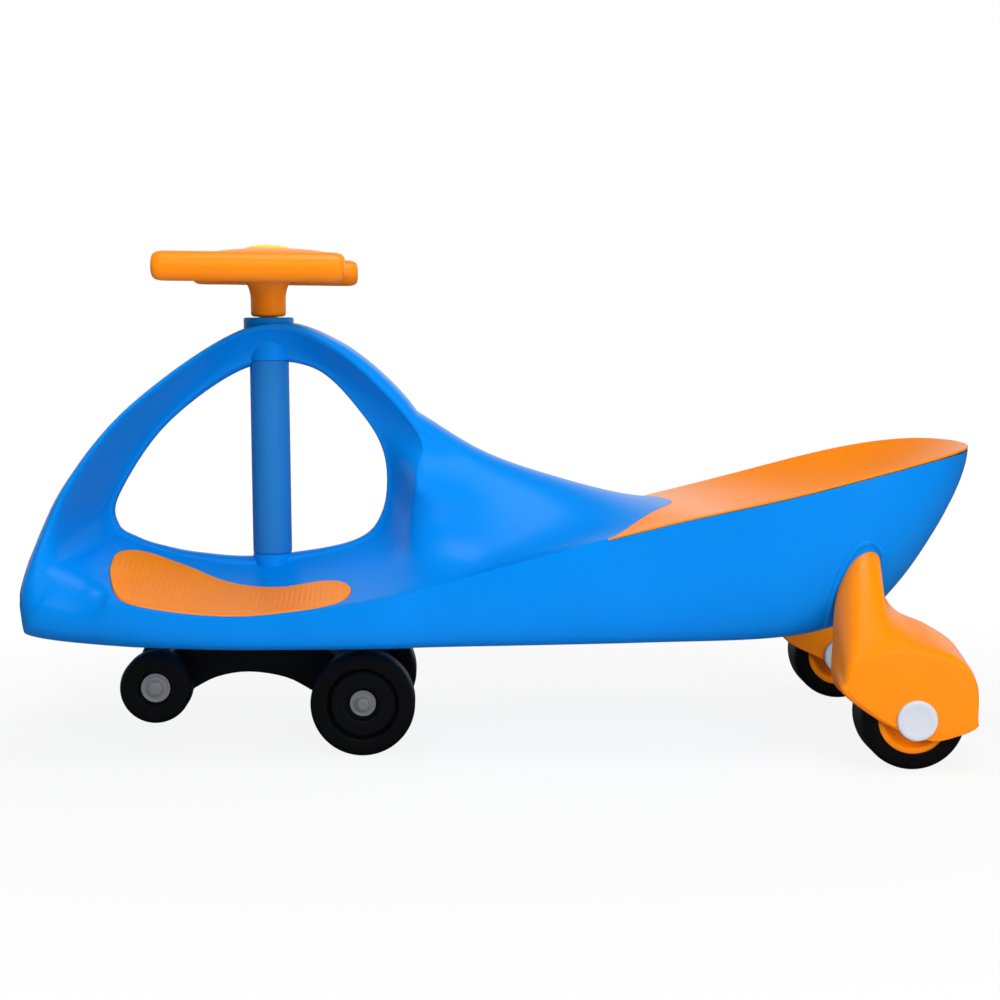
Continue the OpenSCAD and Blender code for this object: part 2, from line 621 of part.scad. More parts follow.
module column_sleeve() {
    edge = sleeve_wall / 2;
    outer = sleeve_d / 2;
    inner = outer - sleeve_wall;
    low = sleeve_z;
    high = boss_z;
    color(sleeve_blue) turned_about_steering([[inner, low], [outer - edge, low], [outer, low + edge],
        [outer, high - edge], [outer - edge, high], [inner, high]]);
}
module upper_bush() {
    inner = shaft_r + run_fit;
    color(black) turned_about_steering([[inner, boss_z], [bush_r, boss_z], [bush_r, collar_z],
        [flange_r, collar_z], [flange_r, collar_z + flange_t], [inner, collar_z + flange_t]]);
}
module lower_bush() {
    inner = shaft_r + run_fit;
    color(black) turned_about_steering([[inner, belly_h - flange_t], [flange_r, belly_h - flange_t],
        [flange_r, belly_h], [bush_r, belly_h], [bush_r, sleeve_z], [inner, sleeve_z]]);
}
washer_r = boss_d / 2 + bush_wall;
module thrust_washer() {
    inner = shaft_r + seat_fit;
    high = truck_z + washer_t;
    color(steel) turned_about_steering([[inner, truck_z], [washer_r, truck_z], [washer_r, high],
        [inner, high]]);
}

// Shaft: turned steel with a cross hole for the truck's pin and a tapped hole for the wheel's bolt
bolt_r = shaft_r / 2;
bolt_reach = shaft_d * 1.5;
shaft_low = belly_h - shaft_d * 1.5;
shaft_high = grip_z - shaft_d * 0.3;
pin_r = shaft_r * 0.35;
pin_z = truck_z - shaft_d * 0.6;
module steering_shaft() {
    edge = shaft_r * 0.12;
    color(steel) difference() {
        turned_about_steering([[0, shaft_low], [shaft_r - edge, shaft_low], [shaft_r, shaft_low + edge],
            [shaft_r, shaft_high - edge], [shaft_r - edge, shaft_high], [0, shaft_high]]);
        at_steering(shaft_high - bolt_reach) cylinder(r = bolt_r, h = bolt_reach + over, $fn = mid_fn);
        axle_hole_x(pin_z, pin_r, shaft_d);
    }
}
// A cross hole along the car through the steering axis
module axle_hole_x(z, r, half) {
    translate([steer_x - half, 0, z]) rotate([0, 90, 0]) cylinder(r = r, h = 2 * half, $fn = mid_fn);
}

// Steering wheel: two straight grips, butterfly arms and a domed middle on a stem
dome_r = dome_d / 2;
dome_steps = 8;
plate_t = grip_d * 0.42;
cap_r = cap_d / 2;
cap_seat_z = dome_z - plate_t * 0.55;
bolt_head_r = bolt_r * 1.7;
bolt_head_h = bolt_r * 1.1;
bolt_seat_z = shaft_high + plate_t * 0.25;
grip_y = wheel_w / 2 - grip_d / 2;
arm_neck_share = 0.2;
arm_root_share = 0.34;
arm_end_share = 0.44;
dome_edge_share = 0.66;
function dome_line() = [for (i = [0 : dome_steps]) let (a = 90 * i / dome_steps)
    [dome_r * sin(a), grip_z + dome_rise * (dome_edge_share + (1 - dome_edge_share) * cos(a))]];
module grip() {
    r = grip_d / 2;
    steps = 8;
    crown = r * 0.75;
    reach = grip_len / 2 - crown;
    ends = [for (i = [0 : steps]) let (a = 90 * i / steps) [r * sin(a), reach + crown * cos(a)]];
    far_ends = [for (i = [steps : -1 : 0]) [ends[i][0], -ends[i][1]]];
    translate([steer_x - grip_lead, grip_y, grip_z]) rotate([0, 90 + grip_tilt, 0])
        rotate_extrude($fn = mid_fn) polygon(concat(ends, far_ends));
}
module arm_plan() {
    root = grip_len * arm_root_share;
    neck = grip_len * arm_neck_share;
    end = grip_len * arm_end_share;
    side = [for (i = [0 : dome_steps]) let (t = i / dome_steps)
        [root * (1 - t) * (1 - t) + 2 * neck * t * (1 - t) + end * t * t, grip_y * t]];
    polygon(concat(side, [for (i = [dome_steps : -1 : 0]) [-side[i][0], side[i][1]]]));
}
module steering_wheel() {
    stem_r = stem_d / 2;
    flare = stem_r * 0.3;
    under = grip_z - plate_t * 0.9;
    color(orange) difference() {
        union() {
            both_sides() grip();
            both_sides() at_steering(grip_z - plate_t / 2) linear_extrude(plate_t) arm_plan();
            turned_about_steering(concat([[0, under], [dome_r - plate_t, under]],
                [for (i = [dome_steps : -1 : 0]) dome_line()[i]]));
            turned_about_steering([[0, stem_z], [stem_r - flare / 2, stem_z], [stem_r, stem_z + flare / 2],
                [stem_r, under - 2 * flare], [stem_r + flare, under], [stem_r + flare, grip_z], [0, grip_z]]);
        }
        at_steering(0) cylinder(r = shaft_r + press_fit, h = shaft_high, $fn = fine_fn);
        at_steering(shaft_high - over) cylinder(r = bolt_r + seat_fit, h = dome_z - shaft_high, $fn = mid_fn);
        at_steering(bolt_seat_z) cylinder(r = bolt_head_r + 2 * seat_fit, h = dome_rise + over, $fn = mid_fn);
        at_steering(cap_seat_z) cylinder(r = cap_r + seat_fit, h = dome_rise + over, $fn = fine_fn);
    }
}
module wheel_bolt() {
    low = shaft_high - bolt_reach * 0.9;
    r = bolt_r - press_fit;
    head = bolt_seat_z + bolt_head_h;
    color(steel) turned_about_steering([[0, low], [r, low], [r, bolt_seat_z], [bolt_head_r, bolt_seat_z],
        [bolt_head_r, head - bolt_head_h * 0.2], [bolt_head_r * 0.7, head], [0, head]]);
}
cap_t = plate_t * 0.85;
module wheel_cap() {
    crown = cap_t * 0.45;
    color(yellow) turned_about_steering(concat([[0, cap_seat_z], [cap_r, cap_seat_z]],
        [for (i = [0 : dome_steps]) let (a = 90 * i / dome_steps)
            [cap_r * cos(a), cap_seat_z + cap_t - crown + crown * sin(a)]]));
}

// Front truck

front_d = belly_h - front_clear;
roller_d = belly_h - roller_clear - roller_lift;
front_x_axle = steer_x + trail_len;
front_z_axle = front_d / 2;
roller_x = steer_x - lead_len;
roller_z = roller_lift + roller_d / 2;
front_in = front_gap / 2;
front_out = front_in + front_w;
roller_in = roller_gap / 2;
roller_out = roller_in + roller_w;
axle_r = axle_d / 2;
tube_r = axle_d * 2;
hub_bore_r = axle_r + run_fit;
truck_hub_r = boss_d / 2 + bush_wall;
truck_hub_z = pin_z - shaft_d * 0.72;
// Side of the beam, from the rollers to the front axle: shares of its length and of its height
beam_shares = [[-0.03, 0.62], [0.04, 0.86], [0.16, 0.97], [0.72, 0.97], [0.86, 0.78], [0.97, 0.5],
    [1.03, 0.2], [0.98, 0], [0.85, 0], [0.74, 0.22], [0.61, 0.45], [0.43, 0.55], [0.27, 0.47], [0.14, 0.26],
    [0.04, 0.2], [-0.03, 0.32]];
beam_low = front_z_axle - tube_r * 0.8;
module steering_truck() {
    long = trail_len + lead_len;
    tall = truck_z - beam_low;
    color(black) difference() {
        union() {
            translate([roller_x, beam_w / 2, beam_low]) rotate([90, 0, 0]) linear_extrude(beam_w)
                polygon([for (p = beam_shares) [p[0] * long, p[1] * tall]]);
            at_steering(truck_hub_z) cylinder(r = truck_hub_r, h = truck_z - truck_hub_z, $fn = fine_fn);
            axle_hole(front_x_axle, front_z_axle, tube_r, -front_in + face_gap, front_in - face_gap);
            axle_hole(roller_x, roller_z, tube_r, -roller_in + face_gap, roller_in - face_gap);
        }
        at_steering(0) cylinder(r = shaft_r + press_fit, h = truck_z + over, $fn = fine_fn);
        axle_hole_x(pin_z, pin_r, truck_hub_r + over);
        axle_hole(front_x_axle, front_z_axle, axle_r + press_fit, -front_out, front_out);
        axle_hole(roller_x, roller_z, axle_r + press_fit, -front_out, front_out);
    }
}
module truck_pin() {
    color(steel) axle_hole_x(pin_z, pin_r - press_fit, truck_hub_r * 0.95);
}

// Rounded edge of a wheel's tread on its inner face, as pairs of radius and distance, and its mirror image
tread_steps = 5;
function round_edge(r, face, edge) = [for (i = [0 : tread_steps]) let (a = 90 * i / tread_steps)
    [r - edge + edge * sin(a), face + edge - edge * cos(a)]];
function far_edge(points, faces) = [for (i = [len(points) - 1 : -1 : 0])
    [points[i][0], faces - points[i][1]]];

// Front wheels: a hub with a recess for the washer and the nut, and a tyre round it
front_hub_r = front_d * 0.32;
recess_r = front_d * 0.162;
recess_depth = front_w * 0.3;
nut_r = axle_d * 0.9;
nut_h = axle_d * 0.75;
thin_washer_t = axle_d * 0.22;
thin_washer_r = front_d * 0.125;
front_face = front_out - recess_depth;
module front_hub(side) {
    groove = front_w * 0.08;
    step = front_w * 0.05;
    low = front_in;
    high = front_out - step;
    rim = front_hub_r - groove;
    boss = recess_r + groove;
    color(black) turned_about_axle(front_x_axle, front_z_axle, side, [[hub_bore_r, low], [recess_r, low],
        [boss, low + groove], [rim, low + groove], [front_hub_r, low + 2 * groove],
        [front_hub_r, high - groove], [rim, high], [boss, high], [recess_r, high - groove / 2],
        [recess_r, front_face], [hub_bore_r, front_face]]);
}
module front_tyre(side) {
    edge = front_w * 0.2;
    bead = front_w * 0.08;
    r = front_d / 2;
    outer = round_edge(r, front_in, edge);
    color(black) turned_about_axle(front_x_axle, front_z_axle, side, concat(
        [[front_hub_r, front_in + 2 * bead], [front_hub_r + bead, front_in]], outer,
        far_edge(outer, front_in + front_out),
        [[front_hub_r + bead, front_out], [front_hub_r, front_out - 2 * bead]]));
}
module front_hub_left() { front_hub(left); }
module front_hub_right() { front_hub(right); }
module front_tyre_left() { front_tyre(left); }
module front_tyre_right() { front_tyre(right); }
axle_end = front_face + face_gap + thin_washer_t + nut_h * 1.15;
module front_axle() {
    color(steel) axle_hole(front_x_axle, front_z_axle, axle_r, -axle_end, axle_end);
}
module front_axle_washers() {
    low = front_face + face_gap;
    high = low + thin_washer_t;
    color(steel) for (side = [left, right]) turned_about_axle(front_x_axle, front_z_axle, side,
        [[axle_r, low], [thin_washer_r, low], [thin_washer_r, high], [axle_r, high]]);
}
module front_axle_nuts() {
    low = front_face + face_gap + thin_washer_t;
    color(steel) both_sides() difference() {
        translate([front_x_axle, low, front_z_axle]) rotate([-90, 0, 0])
            cylinder(r = nut_r, h = nut_h, $fn = 6);
        axle_hole(front_x_axle, front_z_axle, axle_r, low - over, axle_end + over);
    }
}

// Rollers before the truck, each on its own bolt
roller_recess_r = roller_d * 0.24;
roller_recess = roller_w * 0.2;
roller_face = roller_out - roller_recess;
module roller(side) {
    r = roller_d / 2;
    edge = roller_w * 0.18;
    outer = round_edge(r, roller_in, edge);
    color(black) turned_about_axle(roller_x, roller_z, side, concat(
        [[hub_bore_r, roller_in]], outer,
        far_edge(outer, roller_in + roller_out),
        [[roller_recess_r + edge / 2, roller_out], [roller_recess_r, roller_out - edge / 2],
            [roller_recess_r, roller_face], [hub_bore_r, roller_face]]));
}
module roller_left() { roller(left); }
module roller_right() { roller(right); }
bolt_cap_r = axle_d;
bolt_cap_h = axle_d * 0.6;
module roller_bolts() {
    low = roller_in * 0.45;
    under = roller_face + face_gap + thin_washer_t;
    top = under + bolt_cap_h;
    color(steel) for (side = [left, right]) turned_about_axle(roller_x, roller_z, side,
        [[0, low], [axle_r, low], [axle_r, under], [bolt_cap_r, under], [bolt_cap_r, top - bolt_cap_h * 0.4],
            [bolt_cap_r * 0.6, top], [0, top]]);
}
module roller_washers() {
    low = roller_face + face_gap;
    high = low + thin_washer_t;
    color(steel) for (side = [left, right]) turned_about_axle(roller_x, roller_z, side,
        [[axle_r, low], [roller_recess_r * 0.85, low], [roller_recess_r * 0.85, high], [axle_r, high]]);
}

// Rear wheels and their pods

rear_axle_r = rear_axle_d / 2;
screw_r = wall * 0.7;
screw_head_r = screw_r * 1.9;
screw_len = spigot_r * 1.6;
screw_in = spigot_in - 2 * wall;
module pod_screw_places() {
    for (p = spigot_shares * rear_d)
        translate([rear_x + p[0], 0, rear_z + p[1]]) rotate([-90, 0, 0]) children();
}
module pod_screw_holes(r) {
    pod_screw_places() translate([0, 0, screw_in - over]) cylinder(r = r, h = screw_len, $fn = mid_fn);
}
module pod_screws() {
    color(steel) both_sides() pod_screw_places() rotate_extrude($fn = mid_fn)
        polygon([[0, screw_in - screw_r], [screw_head_r * 0.6, screw_in - screw_r], [screw_head_r, screw_in],
            [screw_r, screw_in], [screw_r, screw_in + screw_len * 0.9], [0, screw_in + screw_len * 0.9]]);
}
module rear_pod(side) {
    color(orange) on_side(side) difference() {
        union() {
            pod_outside();
            spigot(0, spigot_in, pod_in + pod_wall);
        }
        axle_hole(rear_x, rear_z, well_r, rear_in - pod_gap, rear_out + pod_gap);
        axle_hole(rear_x, rear_z, rear_axle_r + press_fit, pod_in - over, pod_out + over);
        pod_screw_holes(screw_r + press_fit);
    }
}
module rear_pod_left() { rear_pod(left); }
module rear_pod_right() { rear_pod(right); }
module rear_axle(side) {
    color(steel) on_side(side) axle_hole(rear_x, rear_z, rear_axle_r, pod_in, pod_out);
}
module rear_axle_left() { rear_axle(left); }
module rear_axle_right() { rear_axle(right); }
rear_hub_r = rear_hub_d / 2;
module rear_hub(side) {
    rib = rear_w * 0.1;
    rim = rear_hub_r - rib;
    boss = rear_axle_r + 2 * rib;
    low = rear_in + rib / 2;
    high = rear_out - rib / 2;
    bore = rear_axle_r + run_fit;
    inner = rear_in - pod_gap + face_gap;
    outer = rear_out + pod_gap - face_gap;
    color(orange) turned_about_axle(rear_x, rear_z, side, [[bore, inner], [boss, inner], [boss, low + rib],
        [rim - rib, low + rib], [rim, low], [rear_hub_r, low], [rear_hub_r, high], [rim, high],
        [rim - rib, high - rib], [boss, high - rib], [boss, outer], [bore, outer]]);
}
module rear_hub_left() { rear_hub(left); }
module rear_hub_right() { rear_hub(right); }
module rear_tyre(side) {
    edge = rear_w * 0.18;
    r = rear_d / 2;
    outer = round_edge(r, rear_in, edge);
    color(black) turned_about_axle(rear_x, rear_z, side, concat([[rear_hub_r, rear_in]], outer,
        far_edge(outer, rear_in + rear_out), [[rear_hub_r, rear_out]]));
}
module rear_tyre_left() { rear_tyre(left); }
module rear_tyre_right() { rear_tyre(right); }

// Caps over both ends of a rear axle
module axle_caps(side) {
    r = axle_cap_d / 2;
    steps = 4;
    edge = axle_cap_h * 0.6;
    lid = concat([[0, 0], [r, 0]], [for (i = [0 : steps]) let (a = 90 * i / steps)
        [r - edge + edge * cos(a), axle_cap_h - edge + edge * sin(a)]], [[0, axle_cap_h]]);
    color(white) {
        turned_about_axle(rear_x, rear_z, side, [for (p = lid) [p[0], pod_out + p[1]]]);
        turned_about_axle(rear_x, rear_z, side, [for (p = lid) [p[0], pod_in - p[1]]]);
    }
}
module axle_caps_left() { axle_caps(left); }
module axle_caps_right() { axle_caps(right); }

body_shell();
seat_insert();
foot_pad_left();
foot_pad_right();
column_sleeve();
upper_bush();
lower_bush();
thrust_washer();
steering_shaft();
steering_wheel();
wheel_bolt();
wheel_cap();
steering_truck();
truck_pin();
front_axle();
front_axle_nuts();
front_axle_washers();
front_tyre_left();
front_tyre_right();
front_hub_left();
front_hub_right();
roller_left();
roller_right();
roller_bolts();
roller_washers();
rear_pod_left();
rear_pod_right();
rear_axle_left();
rear_axle_right();
rear_tyre_left();
rear_tyre_right();
rear_hub_left();
rear_hub_right();
axle_caps_left();
axle_caps_right();
pod_screws();
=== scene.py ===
"""Looks of a wiggle car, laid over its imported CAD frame.

The nose is at -X, the left side at -Y and the floor at Z = 0. Lengths are in metres.
"""

import json
import math
from functools import cache

import bmesh
import bpy
from bpy.props import FloatProperty, FloatVectorProperty, IntProperty, PointerProperty, StringProperty
from mathutils import Matrix, Vector
from mathutils.bvhtree import BVHTree
from mathutils.kdtree import KDTree

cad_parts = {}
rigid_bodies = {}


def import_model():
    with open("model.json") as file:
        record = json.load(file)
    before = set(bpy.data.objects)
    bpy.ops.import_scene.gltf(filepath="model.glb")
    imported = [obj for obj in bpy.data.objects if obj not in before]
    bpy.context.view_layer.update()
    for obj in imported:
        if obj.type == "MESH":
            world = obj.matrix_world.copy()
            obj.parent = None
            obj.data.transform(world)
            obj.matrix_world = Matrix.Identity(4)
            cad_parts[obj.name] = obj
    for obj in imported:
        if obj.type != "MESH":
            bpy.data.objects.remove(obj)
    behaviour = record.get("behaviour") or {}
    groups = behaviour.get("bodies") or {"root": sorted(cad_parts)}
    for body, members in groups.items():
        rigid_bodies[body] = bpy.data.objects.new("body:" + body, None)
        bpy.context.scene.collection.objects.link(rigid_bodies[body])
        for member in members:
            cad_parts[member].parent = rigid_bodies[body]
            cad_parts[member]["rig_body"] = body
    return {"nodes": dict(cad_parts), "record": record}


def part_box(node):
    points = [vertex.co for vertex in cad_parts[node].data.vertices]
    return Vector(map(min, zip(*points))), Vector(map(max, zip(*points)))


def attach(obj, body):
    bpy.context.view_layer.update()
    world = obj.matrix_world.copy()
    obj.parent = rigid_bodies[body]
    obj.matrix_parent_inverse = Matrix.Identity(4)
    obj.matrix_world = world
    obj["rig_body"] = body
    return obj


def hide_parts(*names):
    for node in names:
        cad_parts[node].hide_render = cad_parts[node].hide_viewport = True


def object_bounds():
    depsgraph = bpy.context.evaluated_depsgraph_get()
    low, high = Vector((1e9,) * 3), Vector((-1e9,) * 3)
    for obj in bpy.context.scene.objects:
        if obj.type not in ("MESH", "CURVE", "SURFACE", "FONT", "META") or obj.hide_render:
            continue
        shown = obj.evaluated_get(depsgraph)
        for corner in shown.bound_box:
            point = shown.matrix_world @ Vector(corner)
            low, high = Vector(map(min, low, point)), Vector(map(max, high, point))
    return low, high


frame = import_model()
CAD_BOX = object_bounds()

bl_info = {
    "name": "Wiggle Car",
    "version": (1, 0, 0),
    "blender": (4, 5, 0),
    "location": "View3D > Sidebar > Wiggle Car",
    "description": "Builds the visual pieces of a ride-on wiggle car over its CAD frame",
    "category": "Object",
}

LEFT, RIGHT = -1, 1
SIDES = {"left": LEFT, "right": RIGHT}
ACROSS = Vector((0, 1, 0))
UP = Vector((0, 0, 1))
MERGE = 1e-6

# Roundings of turned edges
CRISP, EASED, SOFT = 0.0006, 0.001, 0.002
# Thickness of the upper bush's flange on the collar, and the hole under it: its share of the flange, its depth
FLANGE, HOLE_SHARE, HOLE_DEPTH = 0.002, 0.75, 0.01
# How deep the collar, the boss and the sleeve's foot reach into the body
COLLAR_ROOT, BOSS_ROOT, FOOT_ROOT = 0.008, 0.004, 0.02
# Wall of the sleeve and the rounding at its foot
SLEEVE_WALL, SLEEVE_FOOT = 0.003, 0.0035
# Height of the cuts over the seat and over a foot pad
SEAT_ROOM, PAD_ROOM = 0.06, 0.02
# A foot pad's rim: width of its rounding, plain margin before the ribs, and the way that the ribs take to rise
PAD_EDGE, PAD_MARGIN, PAD_FADE = 0.0016, 0.006, 0.003
# Bead round a pod's stem: its first and last place on the pod's outline, and how much of it is sunk in the hull
BEAD_FROM, BEAD_TO, BEAD_SUNK = 1.1, 6.2, 0.4
# Gap at the faces of the truck's wheels and washers
RUN_GAP = 0.0006
# Fasteners of the truck's wheels
BORE, LOOSE_BORE = 0.003, 0.0031
WASHER = 0.0013
NUT_RADIUS, NUT_HEIGHT = 0.0054, 0.0045
HEAD_RADIUS, HEAD_HEIGHT, BOLT_RADIUS, BOLT_OVERLAP = 0.006, 0.0036, 0.003, 0.0003

# Ribs round the window: window lip x and z, rim x and z, rim half width, outer line x and z, then web, band and edge
# rounding, and last how square the outside is. x is a share of the nose to shoulder distance, z of the arch's rise
# over the belly, half width of the deck's, and web, band and rounding of their sizes in the settings.
RIBS = (
    (0.558, 0.871, 0.580, 0.999, 0.270, 0.580, 1.009, 1.00, 0.50, 1.0, 3.2),
    (0.350, 0.693, 0.285, 0.761, 0.420, 0.277, 0.770, 0.55, 0.35, 1.0, 3.2),
    (0.221, 0.464, 0.110, 0.483, 0.710, 0.095, 0.490, 0.50, 0.40, 1.5, 2.6),
    (0.218, 0.365, 0.042, 0.276, 0.910, 0.008, 0.216, 0.50, 2.00, 4.0, 3.2),
    (0.268, 0.322, 0.092, 0.236, 0.964, 0.000, 0.080, 0.50, 1.50, 4.0, 3.6),
    (0.330, 0.295, 0.185, 0.196, 0.980, 0.030, 0.030, 0.60, 0.60, 2.0, 3.5),
    (0.430, 0.2695, 0.287, 0.157, 0.990, 0.287, 0.000, 0.80, 0.30, 1.0, 4.0),
    (0.587, 0.258, 0.587, 0.118, 1.000, 0.587, 0.000, 1.00, 0.25, 1.0, 6.0),
    (0.823, 0.302, 1.000, 0.198, 1.000, 1.000, 0.000, 0.60, 0.30, 1.0, 7.0),
    (0.905, 0.397, 1.000, 0.317, 0.554, 1.000, 0.000, 0.50, 0.40, 1.0, 7.0),
    (0.915, 0.571, 1.000, 0.516, 0.395, 1.000, 0.560, 0.50, 0.40, 1.0, 3.0),
    (0.857, 0.717, 1.000, 0.663, 0.241, 1.000, 0.726, 0.50, 0.40, 1.0, 3.0),
    (0.731, 0.869, 0.790, 0.934, 0.259, 0.803, 0.954, 0.60, 0.40, 1.0, 3.2),
)
LOW_RIB, HIGH_RIB = 8, 11
# Creases of the moulding that fade out: first and last rib, how far and how often the surface is smoothed round them
SOFT_CREASES = ((1.3, 1.7, 0.007, 3), (1.7, 2.05, 0.012, 6), (2.05, 2.4, 0.02, 12), (2.4, 4.5, 0.032, 20),
                (4.5, 4.9, 0.012, 6), (8.3, 9.0, 0.034, 24), (9.0, 9.45, 0.018, 8), (9.45, 9.7, 0.008, 3))
# Shares of that distance that are smoothed in turn, and the share of the deck's half width where smoothing stops
SOFT_ZONES, SOFT_LIMIT = (1, 0.7, 0.45), 0.965
DISH_POWER = 1.35

# Lines along the tail: place from the shoulder to the stern, then the value there as a share of the arch's rise.
SPINE = ((0, 0.726), (0.12, 0.594), (0.25, 0.509), (0.4, 0.44), (0.58, 0.407), (0.72, 0.407), (0.84, 0.444),
         (0.93, 0.515), (1, 0.61))
RIM = ((0, 0.198), (0.15, 0.268), (0.3, 0.340), (0.44, 0.4), (0.62, 0.473), (0.79, 0.548), (0.88, 0.583),
       (0.95, 0.603), (1, 0.61))
KEEL = ((0, 0), (0.5, 0), (0.65, 0.008), (0.73, 0.026), (0.8, 0.062), (0.855, 0.148), (0.9, 0.25), (0.94, 0.357),
        (0.975, 0.47), (1, 0.58))
WAIST = ((0, 0), (0.32, -0.02), (0.45, -0.026), (0.62, 0.056), (0.68, 0.074))
WIDEST = 0.68
STERN_POWER, STERN_ROOT = 2.8, 2.2
SEAT_END = 0.9995
RIDGE_INNER = ((0, 3), (0.12, 2.7), (0.25, 2.3), (0.4, 2), (0.52, 2), (1, 2))
RIDGE_OUTER = ((0, 8), (0.12, 5), (0.25, 2.8), (0.4, 1.5), (0.52, 1), (1, 1))
SKIRT = ((0, 7), (0.35, 7), (0.6, 5.5), (0.8, 3.2), (1, 2.2))
TONGUE_POWER = 1.9

# Outline of a pod at its inner and outer face, about the axle, in wheel diameters
POD_INNER = ((-0.65, 0.23), (-0.67, 0.69), (-0.64, 1.1), (-0.51, 1.45), (-0.35, 1.57), (-0.22, 1.47), (-0.2, 1.16),
             (-0.06, 0.95), (0.22, 0.82), (0.5, 0.62), (0.62, 0.33), (0.6, 0.03), (0.585, -0.06), (0.4, -0.13),
             (0.12, -0.17), (-0.3, 0))
POD_OUTER = ((-0.69, 0.25), (-0.68, 0.35), (-0.65, 0.45), (-0.59, 0.54), (-0.48, 0.61), (-0.33, 0.66), (-0.15, 0.68),
             (0.04, 0.67), (0.29, 0.61), (0.49, 0.485), (0.583, 0.28), (0.588, 0), (0.58, -0.085), (0.41, -0.165),
             (0.12, -0.21), (-0.3, -0.04))
POD_LOW_SHARE = 0.4
# Shares of a pod's width where its inner rounding ends and its outer one starts, and the size of the inner one
POD_INSIDE, POD_OUTSIDE, POD_INNER_DRAW = 0.08, 0.9, 0.6
POD_LIP_FROM, POD_LIP_TO = 13.9, 16.3
POD_MIX_POWER = 1.15
STEM_MIDDLE = (-0.4, 1.13)

# Outline of a foot pad: share of the nose to shoulder distance, share of the deck's half width
PAD = ((0.221, 0.51), (0.222, 0.31), (0.24, 0.2), (0.275, 0.135), (0.33, 0.13), (0.408, 0.2), (0.517, 0.36),
       (0.648, 0.485), (0.745, 0.485), (0.804, 0.56), (0.832, 0.73), (0.818, 0.885), (0.765, 0.96), (0.66, 0.97),
       (0.5, 0.97), (0.36, 0.97), (0.3, 0.95), (0.262, 0.88), (0.238, 0.74))

# Side of the truck's beam, from the rollers to the front axle: shares of its length and of its height
BEAM = ((-0.03, 0.62), (0.04, 0.86), (0.16, 0.97), (0.72, 0.97), (0.86, 0.78), (0.97, 0.5), (1.03, 0.2), (0.98, 0),
        (0.85, 0), (0.74, 0.22), (0.61, 0.45), (0.43, 0.55), (0.27, 0.47), (0.14, 0.26), (0.04, 0.2), (-0.03, 0.32))
BEAM_TOP, BEAM_HUB, BEAM_EDGE = 0.97, 0.57, 0.0022
TRUCK_HUB = 0.0195

# Half width of the steering wheel's arms at root, neck and end in grip lengths, their thickness in grip diameters
ARM = (0.28, 0.2, 0.44)
PLATE = 0.42
DOME_EDGE = 0.66

# Place and size of each lamp, and the point that all of them look at
LAMPS = {"key": ((1.1, -1.8, 0.8), 1.6), "fill": ((-0.4, -1.3, 0.95), 0.8), "top": ((0.1, -0.35, 1.7), 1.1),
         "back": ((0.3, 1.8, 0.9), 1.6)}
LAMP_TARGET = Vector((0, 0, 0.15))
FLOOR_REACH = 12
SENSOR = 36


def metres(name, description, default):
    """A length property in metres."""
    return FloatProperty(name=name, description=description, default=default, min=0, unit="LENGTH", precision=5)


def radians(name, description, default):
    """An angle property in radians."""
    return FloatProperty(name=name, description=description, default=default, subtype="ANGLE")


def lamp_power(name, description, default):
    """A lamp's power property in watts."""
    return FloatProperty(name=name, description=description, default=default, min=0, unit="POWER")


def colour(name, description, default):
    """A colour property, written as sRGB hex."""
    return StringProperty(name=name, description=description, default=default)


class BodySettings(bpy.types.PropertyGroup):
    """Sizes of the moulded body."""

    length: metres("Length", "Length from the nose to the stern", 0.770)
    arch_height: metres("Arch height", "Height of the arch's crown above the floor", 0.340)
    belly_height: metres("Belly height", "Height of the underside above the floor", 0.0865)
    deck_width: metres("Deck width", "Width of the foot deck across its edges", 0.224)
    seat_width: metres("Hull width", "Width of the hull across the seat's rim", 0.242)
    shoulder_back: metres("Shoulder", "Distance from the nose to the shoulder behind the window", 0.316)
    web: metres("Web", "Thickness of the web round the window", 0.020)
    lip: metres("Lip", "Depth of the rounding along the window's lip", 0.006)
    band: metres("Band", "Width of the band along the arch's rim", 0.006)
    rounding: metres("Rounding", "Rounding inside the rim", 0.002)
    edge: metres("Edge", "Rounding of the moulded edges", 0.0016)
    collar_diameter: metres("Collar", "Diameter of the collar on the arch", 0.041)
    boss_diameter: metres("Boss", "Diameter of the boss under the arch", 0.0345)
    bead: metres("Bead", "Radius of the bead round a pod's stem", 0.0027)
    steps: IntProperty(name="Steps", description="Surface steps between two ribs", default=12, min=4)


class InsertSettings(bpy.types.PropertyGroup):
    """Sizes of the orange inserts."""

    seat_back: metres("Seat tips", "Distance from the nose to the tips of the seat", 0.465)
    notch: metres("Notch", "Depth of the notch in the seat's front edge", 0.062)
    seat_flange: metres("Seat flange", "Thickness of the seat's flange on the hull's edge", 0.0016)
    gap: metres("Gap", "Gap round an insert", 0.0004)
    pad_proud: metres("Pad height", "Height of a foot pad above the deck", 0.0012)
    pad_thickness: metres("Pad thickness", "Thickness of a foot pad", 0.0026)
    rib_pitch: metres("Rib pitch", "Pitch of the ribs on a foot pad", 0.0042)
    rib_height: metres("Rib height", "Height of the ribs on a foot pad", 0.0003)


